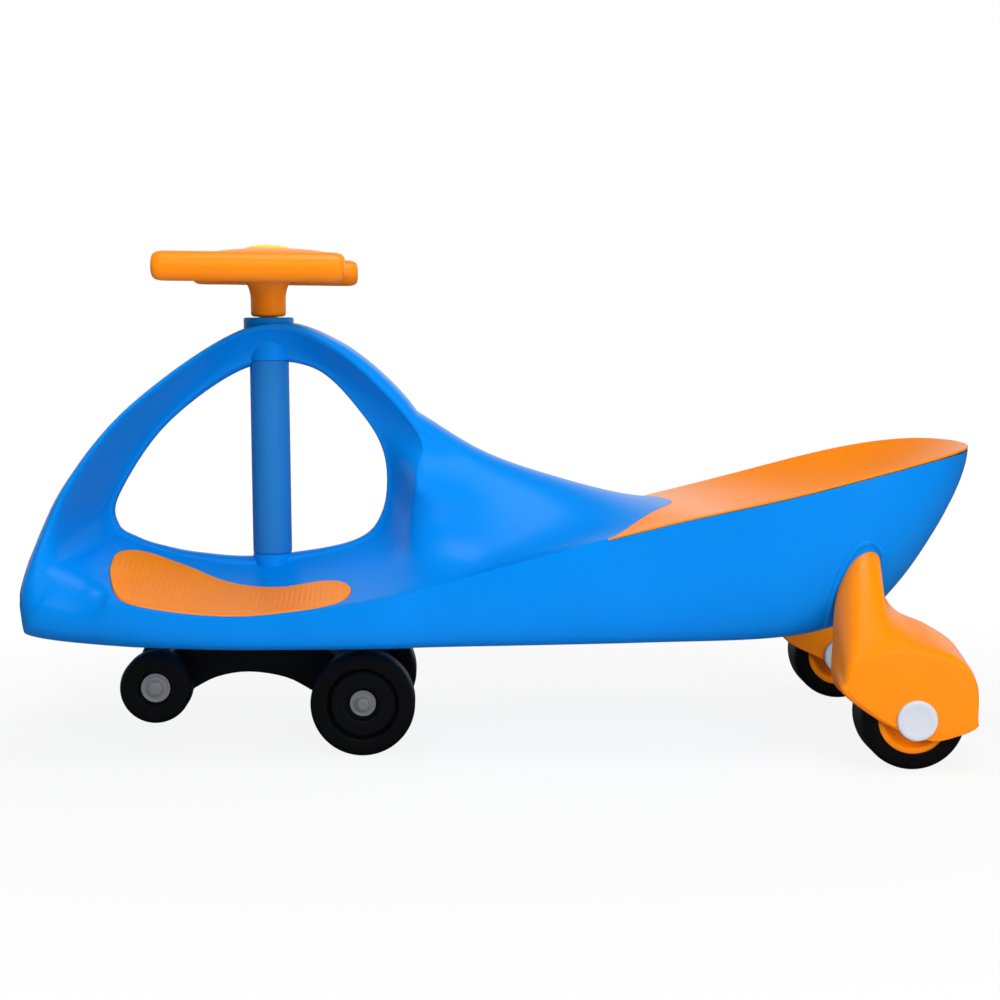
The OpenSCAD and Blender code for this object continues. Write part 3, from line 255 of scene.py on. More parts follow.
class SteeringSettings(bpy.types.PropertyGroup):
    """Sizes of the steering wheel and its truck."""

    grip_length: metres("Grip length", "Length of a grip", 0.146)
    grip_lead: metres("Grip lead", "Distance of the grips' middle before the steering axis", 0.004)
    grip_height: metres("Grip height", "Height of the grips' middle above the floor", 0.3875)
    grip_tilt: radians("Grip tilt", "Angle of the grips, front ends up", math.radians(1))
    grip_diameter: metres("Grip diameter", "Diameter of a grip", 0.023)
    dome_diameter: metres("Dome diameter", "Diameter of the domed middle", 0.104)
    dome_rise: metres("Dome rise", "Height of the dome above the grips' centre line", 0.0175)
    stem_diameter: metres("Stem diameter", "Diameter of the stem", 0.029)
    voxel: metres("Voxel", "Cell size of the wheel's blended surface", 0.0014)
    beam_width: metres("Beam width", "Width of the truck's beam", 0.064)
    tube: metres("Axle tube", "Radius of the tubes round the truck's axles", 0.012)


class WheelSettings(bpy.types.PropertyGroup):
    """Sizes of the wheels and the pods."""

    steps: IntProperty(name="Steps", description="Steps round a wheel", default=128, min=24)
    shoulder: metres("Shoulder", "Rounding of a tyre's shoulders", 0.006)
    pod_wall: metres("Pod wall", "Wall thickness of a pod", 0.004)
    pod_gap: metres("Pod gap", "Gap between a rear wheel and its pod", 0.0035)
    pod_edge: metres("Pod edge", "Rounding of a pod's outer edge", 0.0052)
    lip: metres("Pod lip", "Radius of the lip along a pod's lower edge", 0.0011)


class PaintSettings(bpy.types.PropertyGroup):
    """Colours of the materials, as sRGB hex."""

    blue: colour("Body", "Colour of the body", "#0086E8")
    sleeve: colour("Sleeve", "Colour of the sleeve round the column", "#2079C4")
    orange: colour("Orange", "Colour of the seat, the wheel and the pods", "#FF8C00")
    yellow: colour("Cap", "Colour of the steering wheel's cap", "#F4DC14")
    white: colour("Axle caps", "Colour of the axle caps", "#CDD3DE")
    black: colour("Black", "Colour of the truck, the hubs and the bushes", "#0B0B0D")
    tyre: colour("Tyre", "Colour of the tyres", "#09090A")
    steel: colour("Steel", "Colour of the bolts, nuts and axles", "#B9BCC2")


class StageSettings(bpy.types.PropertyGroup):
    """Camera and lights."""

    place: FloatVectorProperty(name="Camera", description="Place of the camera", size=3, subtype="XYZ",
                               unit="LENGTH", default=(-0.0561, -1.61685, 0.35698))
    pitch: radians("Pitch", "Camera's angle below the horizon", 0.0992)
    yaw: radians("Yaw", "Camera's angle towards the stern", 0.0342)
    roll: radians("Roll", "Camera's angle about its own axis", -0.0065)
    lens: FloatProperty(name="Lens", description="Focal length on a sensor of 36 mm", unit="CAMERA", default=70.318)
    key: lamp_power("Key", "Power of the key light", 26)
    fill: lamp_power("Fill", "Power of the fill light", 7.5)
    top: lamp_power("Top", "Power of the light overhead", 13)
    back: lamp_power("Back", "Power of the light behind", 14)
    sky: FloatProperty(name="Sky", description="Strength of the white surroundings", default=0.13)


class WiggleCarSettings(bpy.types.PropertyGroup):
    """All the settings of the wiggle car."""

    body: PointerProperty(type=BodySettings)
    insert: PointerProperty(type=InsertSettings)
    steering: PointerProperty(type=SteeringSettings)
    wheel: PointerProperty(type=WheelSettings)
    paint: PointerProperty(type=PaintSettings)
    stage: PointerProperty(type=StageSettings)


def settings():
    """The scene's settings."""
    return bpy.context.scene.wiggle_car


# Curves


def blend(a, b, c, d, t):
    """Smooth curve through four values, between the second and the third."""
    return b + t / 2 * (c - a + t * (2 * a - 5 * b + 4 * c - d + t * (3 * (b - c) + d - a)))


def ring_at(keys, u):
    """Values on a closed row of keys at place u, counted in keys."""
    first = math.floor(u)
    rows = [keys[(first + k) % len(keys)] for k in (-1, 0, 1, 2)]
    return [blend(*values, u - first) for values in zip(*rows)]


def along(table, x):
    """Value of a table of places and values at place x, on a smooth curve."""

    def slope(k):
        low, high = table[max(k - 1, 0)], table[min(k + 1, len(table) - 1)]
        return (high[1] - low[1]) / (high[0] - low[0])

    i = max(k for k in range(len(table) - 1) if k == 0 or table[k][0] <= x)
    (x0, a), (x1, b) = table[i], table[i + 1]
    step = x1 - x0
    t, m, n = (x - x0) / step, slope(i) * step, slope(i + 1) * step
    return a + t * (m + t * (3 * (b - a) - 2 * m - n + t * (2 * (a - b) + m + n)))


def power(base, exponent):
    """A power that stays at zero below zero."""
    return max(0.0, base) ** exponent


def quarter(k, steps, exponent):
    """Cosine and sine at step k of a quarter turn, each to a power; the last cosine is exactly nothing."""
    a = math.pi / 2 * k / steps
    return 0 if k == steps else math.cos(a) ** exponent, power(math.sin(a), exponent)


class Hull:
    """The body's surface: ribs round the window, then lines along the tail."""

    def __init__(self, sizes):
        self.nose, self.stern = -sizes.length / 2, sizes.length / 2
        self.sizes = sizes
        self.shoulder = self.nose + sizes.shoulder_back
        self.tail = self.stern - self.shoulder
        self.deck, self.seat = sizes.deck_width / 2, sizes.seat_width / 2
        self.lip_steps, self.dish_steps, self.wrap_steps = 8, 24, 14
        self.rim_at = self.lip_steps + self.dish_steps + 1
        self.last = self.rim_at + self.wrap_steps
        self.low, self.high = LOW_RIB * sizes.steps, HIGH_RIB * sizes.steps
        self.ribs = [self.rib(i / sizes.steps) for i in range(len(RIBS) * sizes.steps)]
        self.join = self.ribs[self.high][self.last:self.rim_at:-1]
        self.join += [self.ribs[i][self.rim_at] for i in range(self.high, self.low, -1)]
        self.join += self.ribs[self.low][self.rim_at:]
        self.top_count = self.wrap_steps + self.high - self.low
        self.shares = [p.y / self.join[self.top_count].y for p in self.join[: self.top_count + 1]]

    def x(self, share):
        return self.nose + self.sizes.shoulder_back * share

    def z(self, share):
        return self.sizes.belly_height + (self.sizes.arch_height - self.sizes.belly_height) * share

    def rib(self, u):
        """One rib round the window: lip, dish, band and outside."""
        lip_x, lip_z, rim_x, rim_z, half, out_x, out_z, thick, band, rounding, square = ring_at(RIBS, u)
        corners = ((lip_x, lip_z), (rim_x, rim_z), (max(out_x, 0), max(out_z, 0)))
        lip, rim, out = (Vector((self.x(x), 0, self.z(z))) for x, z in corners)
        half *= self.deck
        web, depth, way = self.sizes.web / 2 * thick, self.sizes.lip * thick, (rim - lip).normalized()
        start, end = lip + way * depth, rim - way * self.sizes.band * band
        edge = half - self.sizes.rounding * rounding
        points = []
        for k in range(self.lip_steps):
            a = math.pi / 2 * k / self.lip_steps
            points.append(lip + way * depth * (1 - math.cos(a)) + ACROSS * web * math.sin(a))
        for k in range(self.dish_steps + 1):
            t = k / self.dish_steps
            points.append(start.lerp(end, t) + ACROSS * (web + (edge - web) * t**DISH_POWER))
        for k in range(self.wrap_steps + 1):
            side, drop = quarter(k, self.wrap_steps, 2 / square)
            points.append(rim.lerp(out, drop) + ACROSS * half * side)
        return points

    def place(self, x):
        """Place along the tail at x."""
        return (x - self.shoulder) / self.tail

    def rim_half(self, q):
        """Half width of the hull at the rim."""
        if q < WIDEST:
            return self.deck + (self.seat - self.deck) * along(WAIST, q) / along(WAIST, WIDEST)
        return self.seat * power(1 - ((q - WIDEST) / (1 - WIDEST)) ** STERN_POWER, 1 / STERN_ROOT)

    def top(self, q, v):
        """Height of the tail's upper side at place q and share v of its half width."""
        rim, spine = self.z(along(RIM, q)), self.z(along(SPINE, q))
        return rim + (spine - rim) * power(1 - abs(v) ** along(RIDGE_INNER, q), along(RIDGE_OUTER, q))

    def flank(self, q, z):
        """Half width of the tail's skirt at height z."""
        rim, keel, n = self.z(along(RIM, q)), self.z(along(KEEL, q)), along(SKIRT, q)
        return self.rim_half(q) * power(1 - power((rim - z) / (rim - keel), n), 1 / n)

    def tail_line(self, q):
        """Points across the tail: down from the spine to the rim, then down the skirt."""
        x, half = self.shoulder + self.tail * q, self.rim_half(q)
        rim, keel, n = self.z(along(RIM, q)), self.z(along(KEEL, q)), 2 / along(SKIRT, q)
        points = [Vector((x, half * v, self.top(q, v))) for v in self.shares]
        for k in range(1, self.wrap_steps + 1):
            side, drop = quarter(k, self.wrap_steps, n)
            points.append(Vector((x, half * side, rim - (rim - keel) * drop)))
        return points


# Meshes


def surface(cols, rows, place, keep=None):
    """A grid of cols by rows cells; place gives the point of a corner and keep says which cells stay."""
    bm = bmesh.new()
    bmesh.ops.create_grid(bm, x_segments=cols, y_segments=rows, size=1)

    def corner(co):
        return (co.x + 1) / 2 * cols, (co.y + 1) / 2 * rows

    if keep:
        gone = [f for f in bm.faces if not keep(*(int(c) for c in corner(f.calc_center_median())))]
        bmesh.ops.delete(bm, geom=gone, context="FACES")
    for v in bm.verts:
        v.co = place(*(round(c) for c in corner(v.co)))
    return bm


def closed(bm, merge=MERGE):
    """Merges doubles and turns the faces outwards."""
    bmesh.ops.remove_doubles(bm, verts=bm.verts, dist=merge)
    bmesh.ops.recalc_face_normals(bm, faces=bm.faces)
    return bm


def thickened(bm, step):
    """Gives a sheet a body: the sheet and its copy one step away, with sides between."""
    copied = bmesh.ops.extrude_face_region(bm, geom=bm.faces[:], use_keep_orig=True)
    bmesh.ops.translate(bm, verts=[v for v in copied["geom"] if isinstance(v, bmesh.types.BMVert)], vec=step)
    return closed(bm)


def filleted(corners, steps=4):
    """A profile of pairs, with each corner that has a third number rounded by it."""
    points = []
    for k, (r, d, *radius) in enumerate(corners):
        p = Vector((r, d))
        if not radius:
            points.append(p)
            continue
        a, b = (Vector(corners[(k + n) % len(corners)][:2]) - p for n in (-1, 1))
        a, b = (s.normalized() * min(radius[0], s.length * 0.49) for s in (a, b))
        points += [p + a * (1 - t) ** 2 + b * t * t for t in (n / steps for n in range(steps + 1))]
    return points


def spun(corners, centre, axis, steps, ring=False):
    """A turned solid about an axis, from corners of radius, distance and rounding; a ring's profile is closed."""
    bm = bmesh.new()
    out = axis.orthogonal().normalized()
    verts = [bm.verts.new(centre + out * p.x + axis * p.y) for p in filleted(corners)]
    edges = [bm.edges.new(pair) for pair in zip(verts, verts[1:])]
    if ring:
        edges.append(bm.edges.new((verts[-1], verts[0])))
    bmesh.ops.spin(bm, geom=verts + edges, cent=centre, axis=axis, angle=2 * math.pi, steps=steps, use_merge=True)
    return closed(bm)


def prism(count, radius, centre, axis, reach, edge=0):
    """A straight bar with count sides about an axis, from the centre along it."""
    bm = bmesh.new()
    turn = axis.to_track_quat("Z", "X").to_matrix().to_4x4()
    bmesh.ops.create_cone(bm, cap_ends=True, segments=count, radius1=radius, radius2=radius, depth=reach,
                          matrix=Matrix.Translation(centre + axis * reach / 2) @ turn)
    if edge:
        rims = [e for e in bm.edges if abs((e.verts[0].co - e.verts[1].co).dot(axis)) < MERGE]
        bmesh.ops.bevel(bm, geom=rims, offset=edge, segments=2, profile=0.5, affect="EDGES", material=-1)
    return closed(bm)


def cord_along(path, radius, sides=16):
    """A round bead along a path, with both ends run out."""
    count = len(path) - 1

    def place(col, row):
        ahead = (path[min(row + 1, count)] - path[max(row - 1, 0)]).normalized()
        side = (ACROSS - ahead * ahead.dot(ACROSS)).normalized()
        a = 2 * math.pi * col / sides
        size = radius * power(1 - (2 * row / count - 1) ** 8, 0.5)
        return path[row] + (side * math.cos(a) + side.cross(ahead) * math.sin(a)) * size

    return closed(surface(sides, count, place))


def joined(*parts):
    """One mesh of several."""
    bm = bmesh.new()
    for part in parts:
        mesh = bpy.data.meshes.new("part")
        part.to_mesh(mesh)
        part.free()
        bm.from_mesh(mesh)
        bpy.data.meshes.remove(mesh)
    return bm


def mirrored(bm):
    """The mesh turned to the other side of the middle plane."""
    other = bm.copy()
    bmesh.ops.scale(other, verts=other.verts, vec=(1, -1, 1))
    bmesh.ops.reverse_faces(other, faces=other.faces)
    return other


def both_sides(bm):
    """A mesh on the right and its mirror image on the left."""
    return bm, mirrored(bm)


def rounded_edges(bm, radius, angle):
    """Rounds every edge that turns by more than the angle."""
    sharp = [e for e in bm.edges if e.is_manifold and e.calc_face_angle(0) > angle]
    bmesh.ops.bevel(bm, geom=sharp, offset=radius, segments=3, profile=0.5, affect="EDGES", clamp_overlap=True,
                    material=-1)
    return closed(bm)


def add_object(name, bm):
    """A new object with that mesh."""
    mesh = bpy.data.meshes.new(name)
    bm.to_mesh(mesh)
    bm.free()
    made = bpy.data.objects.new(name, mesh)
    bpy.context.scene.collection.objects.link(made)
    return made


def baked(piece):
    """Turns a piece's modifiers into its mesh."""
    graph = bpy.context.evaluated_depsgraph_get()
    old, piece.data = piece.data, bpy.data.meshes.new_from_object(piece.evaluated_get(graph))
    piece.data.name = piece.name
    piece.modifiers.clear()
    bpy.data.meshes.remove(old)
    return piece


def combined(piece, bm, operation):
    """Cuts or joins a piece with a mesh."""
    tool = add_object("tool", bm)
    modifier = piece.modifiers.new("combine", "BOOLEAN")
    modifier.operation, modifier.solver, modifier.object = operation, "MANIFOLD", tool
    baked(piece)
    mesh = tool.data
    bpy.data.objects.remove(tool)
    bpy.data.meshes.remove(mesh)
    if not piece.data.polygons:
        raise RuntimeError(f"{piece.name}: nothing is left after {operation}")
    return piece


def settled(piece, slot, *nodes, angle=38):
    """Shades a piece, gives it its finish and puts it on the body of the nodes it stands for."""
    mesh = piece.data
    for v in mesh.vertices:
        v.co = [min(max(c, low), high) for c, low, high in zip(v.co, *CAD_BOX)]
    mesh.shade_smooth()
    mesh.set_sharp_from_angle(angle=math.radians(angle))
    mesh.materials.clear()
    mesh.materials.append(finish(slot))
    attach(piece, frame["nodes"][nodes[0]]["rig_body"])
    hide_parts(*nodes)


def add_piece(name, bm, slot, *nodes, angle=38):
    """A new object with that mesh, shaded and put in its place."""
    settled(add_object(name, bm), slot, *nodes, angle=angle)


# Materials


def linear(code):
    """An sRGB hex colour as linear red, green, blue and alpha."""
    parts = (int(code[k:k + 2], 16) / 255 for k in (1, 3, 5))
    return (*((c / 12.92 if c <= 0.04045 else ((c + 0.055) / 1.055) ** 2.4) for c in parts), 1)


def add_node(tree, kind, values=(), **attributes):
    """A node with its attributes set; each value goes to an input, as a link from a socket or as a constant."""
    node = tree.nodes.new(kind)
    for name, value in attributes.items():
        setattr(node, name, value)
    for name, value in dict(values).items():
        if isinstance(value, bpy.types.NodeSocket):
            tree.links.new(value, node.inputs[name])
        else:
            node.inputs[name].default_value = value
    return node


def new_tree(name):
    """A new material's empty node tree."""
    made = bpy.data.materials.new(name)
    made.use_nodes = True
    made.node_tree.nodes.clear()
    return made, made.node_tree


def surfaced(name, base, rough, grain, relief, spread=(1, 1, 1), cloud=0.06, shade=0.93, shine=0.4, metal=0.0):
    """A material with a fine grain of that size and height in metres, and a slow drift of shade and gloss."""
    made, tree = new_tree(name)
    place = add_node(tree, "ShaderNodeTexCoord").outputs["Object"]
    drift = add_node(tree, "ShaderNodeTexNoise", {"Vector": place, "Scale": 1 / cloud, "Detail": 2}).outputs["Fac"]
    stretched = add_node(tree, "ShaderNodeMapping", {"Vector": place, "Scale": spread}).outputs["Vector"]
    speck = add_node(tree, "ShaderNodeTexNoise", {"Vector": stretched, "Scale": 1 / grain, "Detail": 3}).outputs["Fac"]
    dark = tuple(c * shade for c in linear(base)[:3]) + (1,)
    tone = add_node(tree, "ShaderNodeMix", {"Factor": drift, 6: dark, 7: linear(base)}, data_type="RGBA")
    gloss = add_node(tree, "ShaderNodeMapRange", {"Value": drift, "To Min": rough * 0.88, "To Max": rough * 1.12})
    bump = add_node(tree, "ShaderNodeBump", {"Height": speck, "Distance": relief, "Strength": 0.6})
    skin = add_node(tree, "ShaderNodeBsdfPrincipled", {
        "Base Color": tone.outputs[2], "Roughness": gloss.outputs["Result"], "Normal": bump.outputs["Normal"],
        "Specular IOR Level": shine, "Metallic": metal})
    add_node(tree, "ShaderNodeOutputMaterial", {"Surface": skin.outputs["BSDF"]})
    return made


# Finish of each slot: its material, its colour in the settings, its roughness, size and height of its grain, and what
# else sets it apart
FINISHES = {
    # Blow-moulded body: deep glossy blue with a faint orange peel
    "blue_plastic": ("blue_polyethylene", "blue", 0.3, 0.0011, 0.00002, {"shine": 0.1}),
    # Extruded tube: duller blue with fine draw lines along it
    "sleeve_plastic": ("extruded_blue_tube", "sleeve", 0.5, 0.0009, 0.00004, {"spread": (1, 1, 0.03), "shine": 0.2}),
    # Injection-moulded inserts, wheel and pods: warm satin orange with a fine grain
    "orange_plastic": ("orange_polypropylene", "orange", 0.34, 0.0008, 0.00003, {"shine": 0.3}),
    # Cap of the steering wheel: bright glossy yellow
    "yellow_plastic": ("yellow_abs", "yellow", 0.22, 0.002, 0.00001, {}),
    # Axle caps: cool white with a soft sheen
    "white_plastic": ("white_polyethylene", "white", 0.42, 0.0009, 0.00002, {"shade": 0.97}),
    # Truck, hubs and bushes: black nylon with a matt grain
    "black_plastic": ("black_nylon", "black", 0.42, 0.0007, 0.00005, {}),
    # Tyres: dull black polyurethane with a scuffed skin
    "black_tyre": ("black_polyurethane", "tyre", 0.5, 0.0012, 0.00008, {"shade": 0.8}),
    # Bolts, nuts and axles: bright zinc with fine turning marks
    "steel": ("zinc_plated_steel", "steel", 0.34, 0.0006, 0.00003, {"metal": 0.7}),
}


@cache
def finish(slot):
    """The material of a slot, made once."""
    name, paint, rough, grain, relief, more = FINISHES[slot]
    return surfaced(name, getattr(settings().paint, paint), rough, grain, relief, **more)


# Pieces


def steering_axis():
    """Place of the steering axis on the floor, from the CAD."""
    low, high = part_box("column_sleeve")
    return Vector(((low.x + high.x) / 2, 0, 0))


def node_radius(node):
    """Radius of a turned CAD node, from its reach along the car."""
    low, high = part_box(node)
    return (high.x - low.x) / 2


def axle(node):
    """Middle of a turned CAD node about a cross axle, and its inner and outer face as distances across."""
    low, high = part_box(node)
    near, far = sorted((abs(low.y), abs(high.y)))
    return Vector(((low.x + high.x) / 2, 0, (low.z + high.z) / 2)), near, far


def body_surface(hull):
    """The closed outside of the body, without cuts."""
    ribs, steps = hull.ribs, len(hull.ribs)
    ring = surface(steps, hull.last, lambda i, j: ribs[i % steps][j],
                   lambda i, j: j < hull.rim_at or not hull.low <= i < hull.high)
    rows, last, first = 64, len(hull.join) - 1, hull.tail_line(0)
    settle_by = 0.1

    def tail_point(j, i):
        q = 1 - (1 - i / rows) ** 1.7
        p = hull.tail_line(q)[j] if i else hull.join[j]
        if 0 < q < settle_by:
            t = q / settle_by
            p = p + (hull.join[j] - first[j]) * (1 - t * t * (3 - 2 * t))
        if i == rows:
            p = Vector((hull.stern, 0, hull.z(along(SPINE, 1) + (along(KEEL, 1) - along(SPINE, 1)) * j / last)))
        return p

    bm = joined(ring, surface(last, rows, tail_point))
    bmesh.ops.remove_doubles(bm, verts=bm.verts, dist=MERGE)
    bmesh.ops.mirror(bm, geom=bm.verts[:] + bm.edges[:] + bm.faces[:], axis="Y", merge_dist=MERGE)
    closed(bm)
    open_edges = sum(not e.is_manifold for e in bm.edges)
    if open_edges:
        raise RuntimeError(f"body: {open_edges} edges are open")
    for crease in SOFT_CREASES:
        soften(bm, hull, *crease)
    return bm


def soften(bm, hull, first, last, reach, rounds):
    """Smooths the surface round the rim of some ribs, most of all next to it; the deck's own edge stays."""
    steps = hull.sizes.steps
    crease = [hull.ribs[i][hull.rim_at] for i in range(round(first * steps), round(last * steps) + 1)]
    tree = KDTree(len(crease))
    for i, p in enumerate(crease):
        tree.insert(p, i)
    tree.balance()
    away = {v: tree.find(Vector((v.co.x, abs(v.co.y), v.co.z)))[2] for v in bm.verts}
    edge = hull.deck * SOFT_LIMIT if first > LOW_RIB - 1 else hull.deck * 2
    for share in SOFT_ZONES:
        near = [v for v in bm.verts if away[v] < reach * share and abs(v.co.y) < edge]
        for _ in range(rounds):
            bmesh.ops.smooth_vert(bm, verts=near, factor=0.5, use_axis_x=True, use_axis_y=True, use_axis_z=True)


def seat_sheet(hull, gap=0, beyond=0):
    """The seat's upper side from its notched front edge to the stern, with a gap in front and a way beyond the rim."""
    sizes = settings().insert
    cols, rows = 96, 90
    tip = hull.nose + sizes.seat_back
    front = hull.rim_half(hull.place(tip))

    def place(col, row):
        v, t = 2 * col / cols - 1, 1 - (1 - row / rows) ** 1.2
        x = tip
        for _ in range(6):
            y = (hull.rim_half(hull.place(x)) + beyond) * v
            x = tip - gap + sizes.notch * (1 - min(1, abs(y / front)) ** TONGUE_POWER)
        q = hull.place(x) + (SEAT_END - hull.place(x)) * t
        half = hull.rim_half(q)
        y = (half + beyond) * v
        push = beyond * max(0, (q - WIDEST) / (1 - WIDEST))
        return Vector((hull.shoulder + hull.tail * q + push, y, hull.top(q, min(1, abs(y / half)))))

    return surface(cols, rows, place)


def pad_sheet(hull, deck, grow, lift, ribbed=False):
    """A foot pad's upper side on the right: the deck's surface inside the pad's outline, lifted off it."""
    sizes = settings().insert
    outline = [ring_at(PAD, k / 12) for k in range(len(PAD) * 12)]
    outline = [Vector((hull.x(x), hull.deck * y)) for x, y in outline]
    low, high = min(p.x for p in outline), max(p.x for p in outline)
    pairs = list(zip(outline, outline[1:] + outline[:1]))
    cols, rows = (420, 30) if ribbed else (120, 24)

    def span(x):
        crossing = sorted(a.y + (b.y - a.y) * (x - a.x) / (b.x - a.x)
                          for a, b in pairs if a.x != b.x and (a.x - x) * (b.x - x) <= 0)
        return crossing[0], crossing[-1]

    def place(col, row):
        s, t = (1 - math.cos(math.pi * col / cols)) / 2, (1 - math.cos(math.pi * row / rows)) / 2
        if ribbed:
            s = 0.5 * s + 0.5 * col / cols
        x = low + (high - low) * min(max(s, 1e-4), 1 - 1e-4)
        near, far = span(x)
        y = near - grow + (far - near + 2 * grow) * t
        x += grow * (2 * s - 1) ** 5
        hit = deck.ray_cast(Vector((x, y, hull.z(0.45))), -UP)[0]
        rim = min(y - near, far - y, (x - low) * 1.5, (high - x) * 1.5)
        rise = lift
        if ribbed:
            edge = min(1, max(0, rim) / PAD_EDGE)
            rise = lift * (1 - (1 - edge) ** 2) ** 0.5
            field = min(1, max(0, rim - PAD_MARGIN) / PAD_FADE)
            wave = abs(math.sin(math.pi * x / sizes.rib_pitch)) ** 0.7
            rise -= sizes.rib_height * field * (1 - wave)
        return hit + UP * rise

    return surface(cols, rows, place)


def bead_point(hull, u):
    """A point of the bead round the front and the top of the right pod's stem."""
    centre, bead = axle("rear_tyre_right")[0], settings().body.bead
    wheel = 2 * centre.z
    p = Vector(ring_at(POD_INNER, u)) * wheel
    p += (p - Vector(STEM_MIDDLE) * wheel).normalized() * bead + Vector((centre.x, centre.z))
    return Vector((p.x, hull.flank(hull.place(p.x), p.y) - bead * BEAD_SUNK, p.y))


class WIGGLE_OT_body(bpy.types.Operator):
    """Builds the moulded body with its arch, window, deck and stern"""

    bl_idname = "wiggle.body"
    bl_label = "Body"

    def execute(self, context):
        sizes, insert = settings().body, settings().insert
        hull = Hull(sizes)
        skin = body_surface(hull)
        deck = BVHTree.FromBMesh(skin)
        body = add_object("body_moulding", rounded_edges(skin, sizes.edge, math.radians(40)))
        pocket = seat_sheet(hull, insert.gap, 4 * insert.gap)
        bmesh.ops.translate(pocket, verts=pocket.verts, vec=-UP * (insert.seat_flange + insert.gap))
        combined(body, thickened(pocket, UP * SEAT_ROOM), "DIFFERENCE")
        axis, crown, top = steering_axis(), sizes.arch_height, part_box("upper_bush")[1].z
        low, high = (corner.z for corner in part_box("column_sleeve"))
        collar, boss = sizes.collar_diameter / 2, sizes.boss_diameter / 2
        sleeve, flange = node_radius("column_sleeve"), node_radius("upper_bush")
        for profile in (
            ((0, crown - COLLAR_ROOT), (collar, crown - COLLAR_ROOT), (collar, top, sizes.edge), (0, top)),
            ((0, high), (boss, high, EASED), (boss, crown - BOSS_ROOT), (0, crown - BOSS_ROOT)),
            ((0, low - FOOT_ROOT), (sleeve, low - FOOT_ROOT), (sleeve, low, CRISP), (0, low)),
        ):
            combined(body, spun(profile, axis, UP, 96), "UNION")
        bead = cord_along([bead_point(hull, BEAD_FROM + (BEAD_TO - BEAD_FROM) * k / 48) for k in range(49)], sizes.bead)
        pocket = pad_sheet(hull, deck, insert.gap, insert.pad_proud - insert.pad_thickness - insert.gap)
        for side_bead, side_pocket in zip(both_sides(bead), both_sides(thickened(pocket, UP * PAD_ROOM))):
            combined(body, side_bead, "UNION")
            combined(body, side_pocket, "DIFFERENCE")
        for radius, start, end in ((flange * HOLE_SHARE, crown - HOLE_DEPTH, crown + 2 * HOLE_DEPTH),
                                   (flange + insert.gap, top - FLANGE, top + FLANGE),
                                   (sleeve + insert.gap, low, high)):
            combined(body, prism(64, radius, axis + UP * start, UP, end - start), "DIFFERENCE")
        settled(body, "blue_plastic", "body_shell")
        return {"FINISHED"}


class WIGGLE_OT_seat(bpy.types.Operator):
    """Builds the dished seat insert"""

    bl_idname = "wiggle.seat"
    bl_label = "Seat"

    def execute(self, context):
        insert = settings().insert
        seat = thickened(seat_sheet(Hull(settings().body)), -UP * insert.seat_flange)
        add_piece("seat", rounded_edges(seat, insert.seat_flange / 3, math.radians(50)), "orange_plastic",
                  "seat_insert")
        return {"FINISHED"}


class WIGGLE_OT_foot_pads(bpy.types.Operator):
    """Builds the two ribbed foot pads"""

    bl_idname = "wiggle.foot_pads"
    bl_label = "Foot pads"

    def execute(self, context):
        insert = settings().insert
        hull = Hull(settings().body)
        deck = BVHTree.FromBMesh(body_surface(hull))
        pad = thickened(pad_sheet(hull, deck, 0, insert.pad_proud, ribbed=True), -UP * insert.pad_thickness)
        for side, bm in zip(("right", "left"), both_sides(pad)):
            add_piece(f"ribbed_pad_{side}", bm, "orange_plastic", f"foot_pad_{side}", angle=70)
        return {"FINISHED"}


class WIGGLE_OT_column(bpy.types.Operator):
    """Builds the sleeve round the steering shaft"""

    bl_idname = "wiggle.column"
    bl_label = "Column"

    def execute(self, context):
        low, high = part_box("column_sleeve")
        outer = node_radius("column_sleeve")
        inner = outer - SLEEVE_WALL
        profile = ((inner, low.z), (outer, low.z, SLEEVE_FOOT), (outer, high.z, EASED), (inner, high.z))
        add_piece("sleeve_tube", spun(profile, steering_axis(), UP, 96, ring=True), "sleeve_plastic", "column_sleeve")
        return {"FINISHED"}


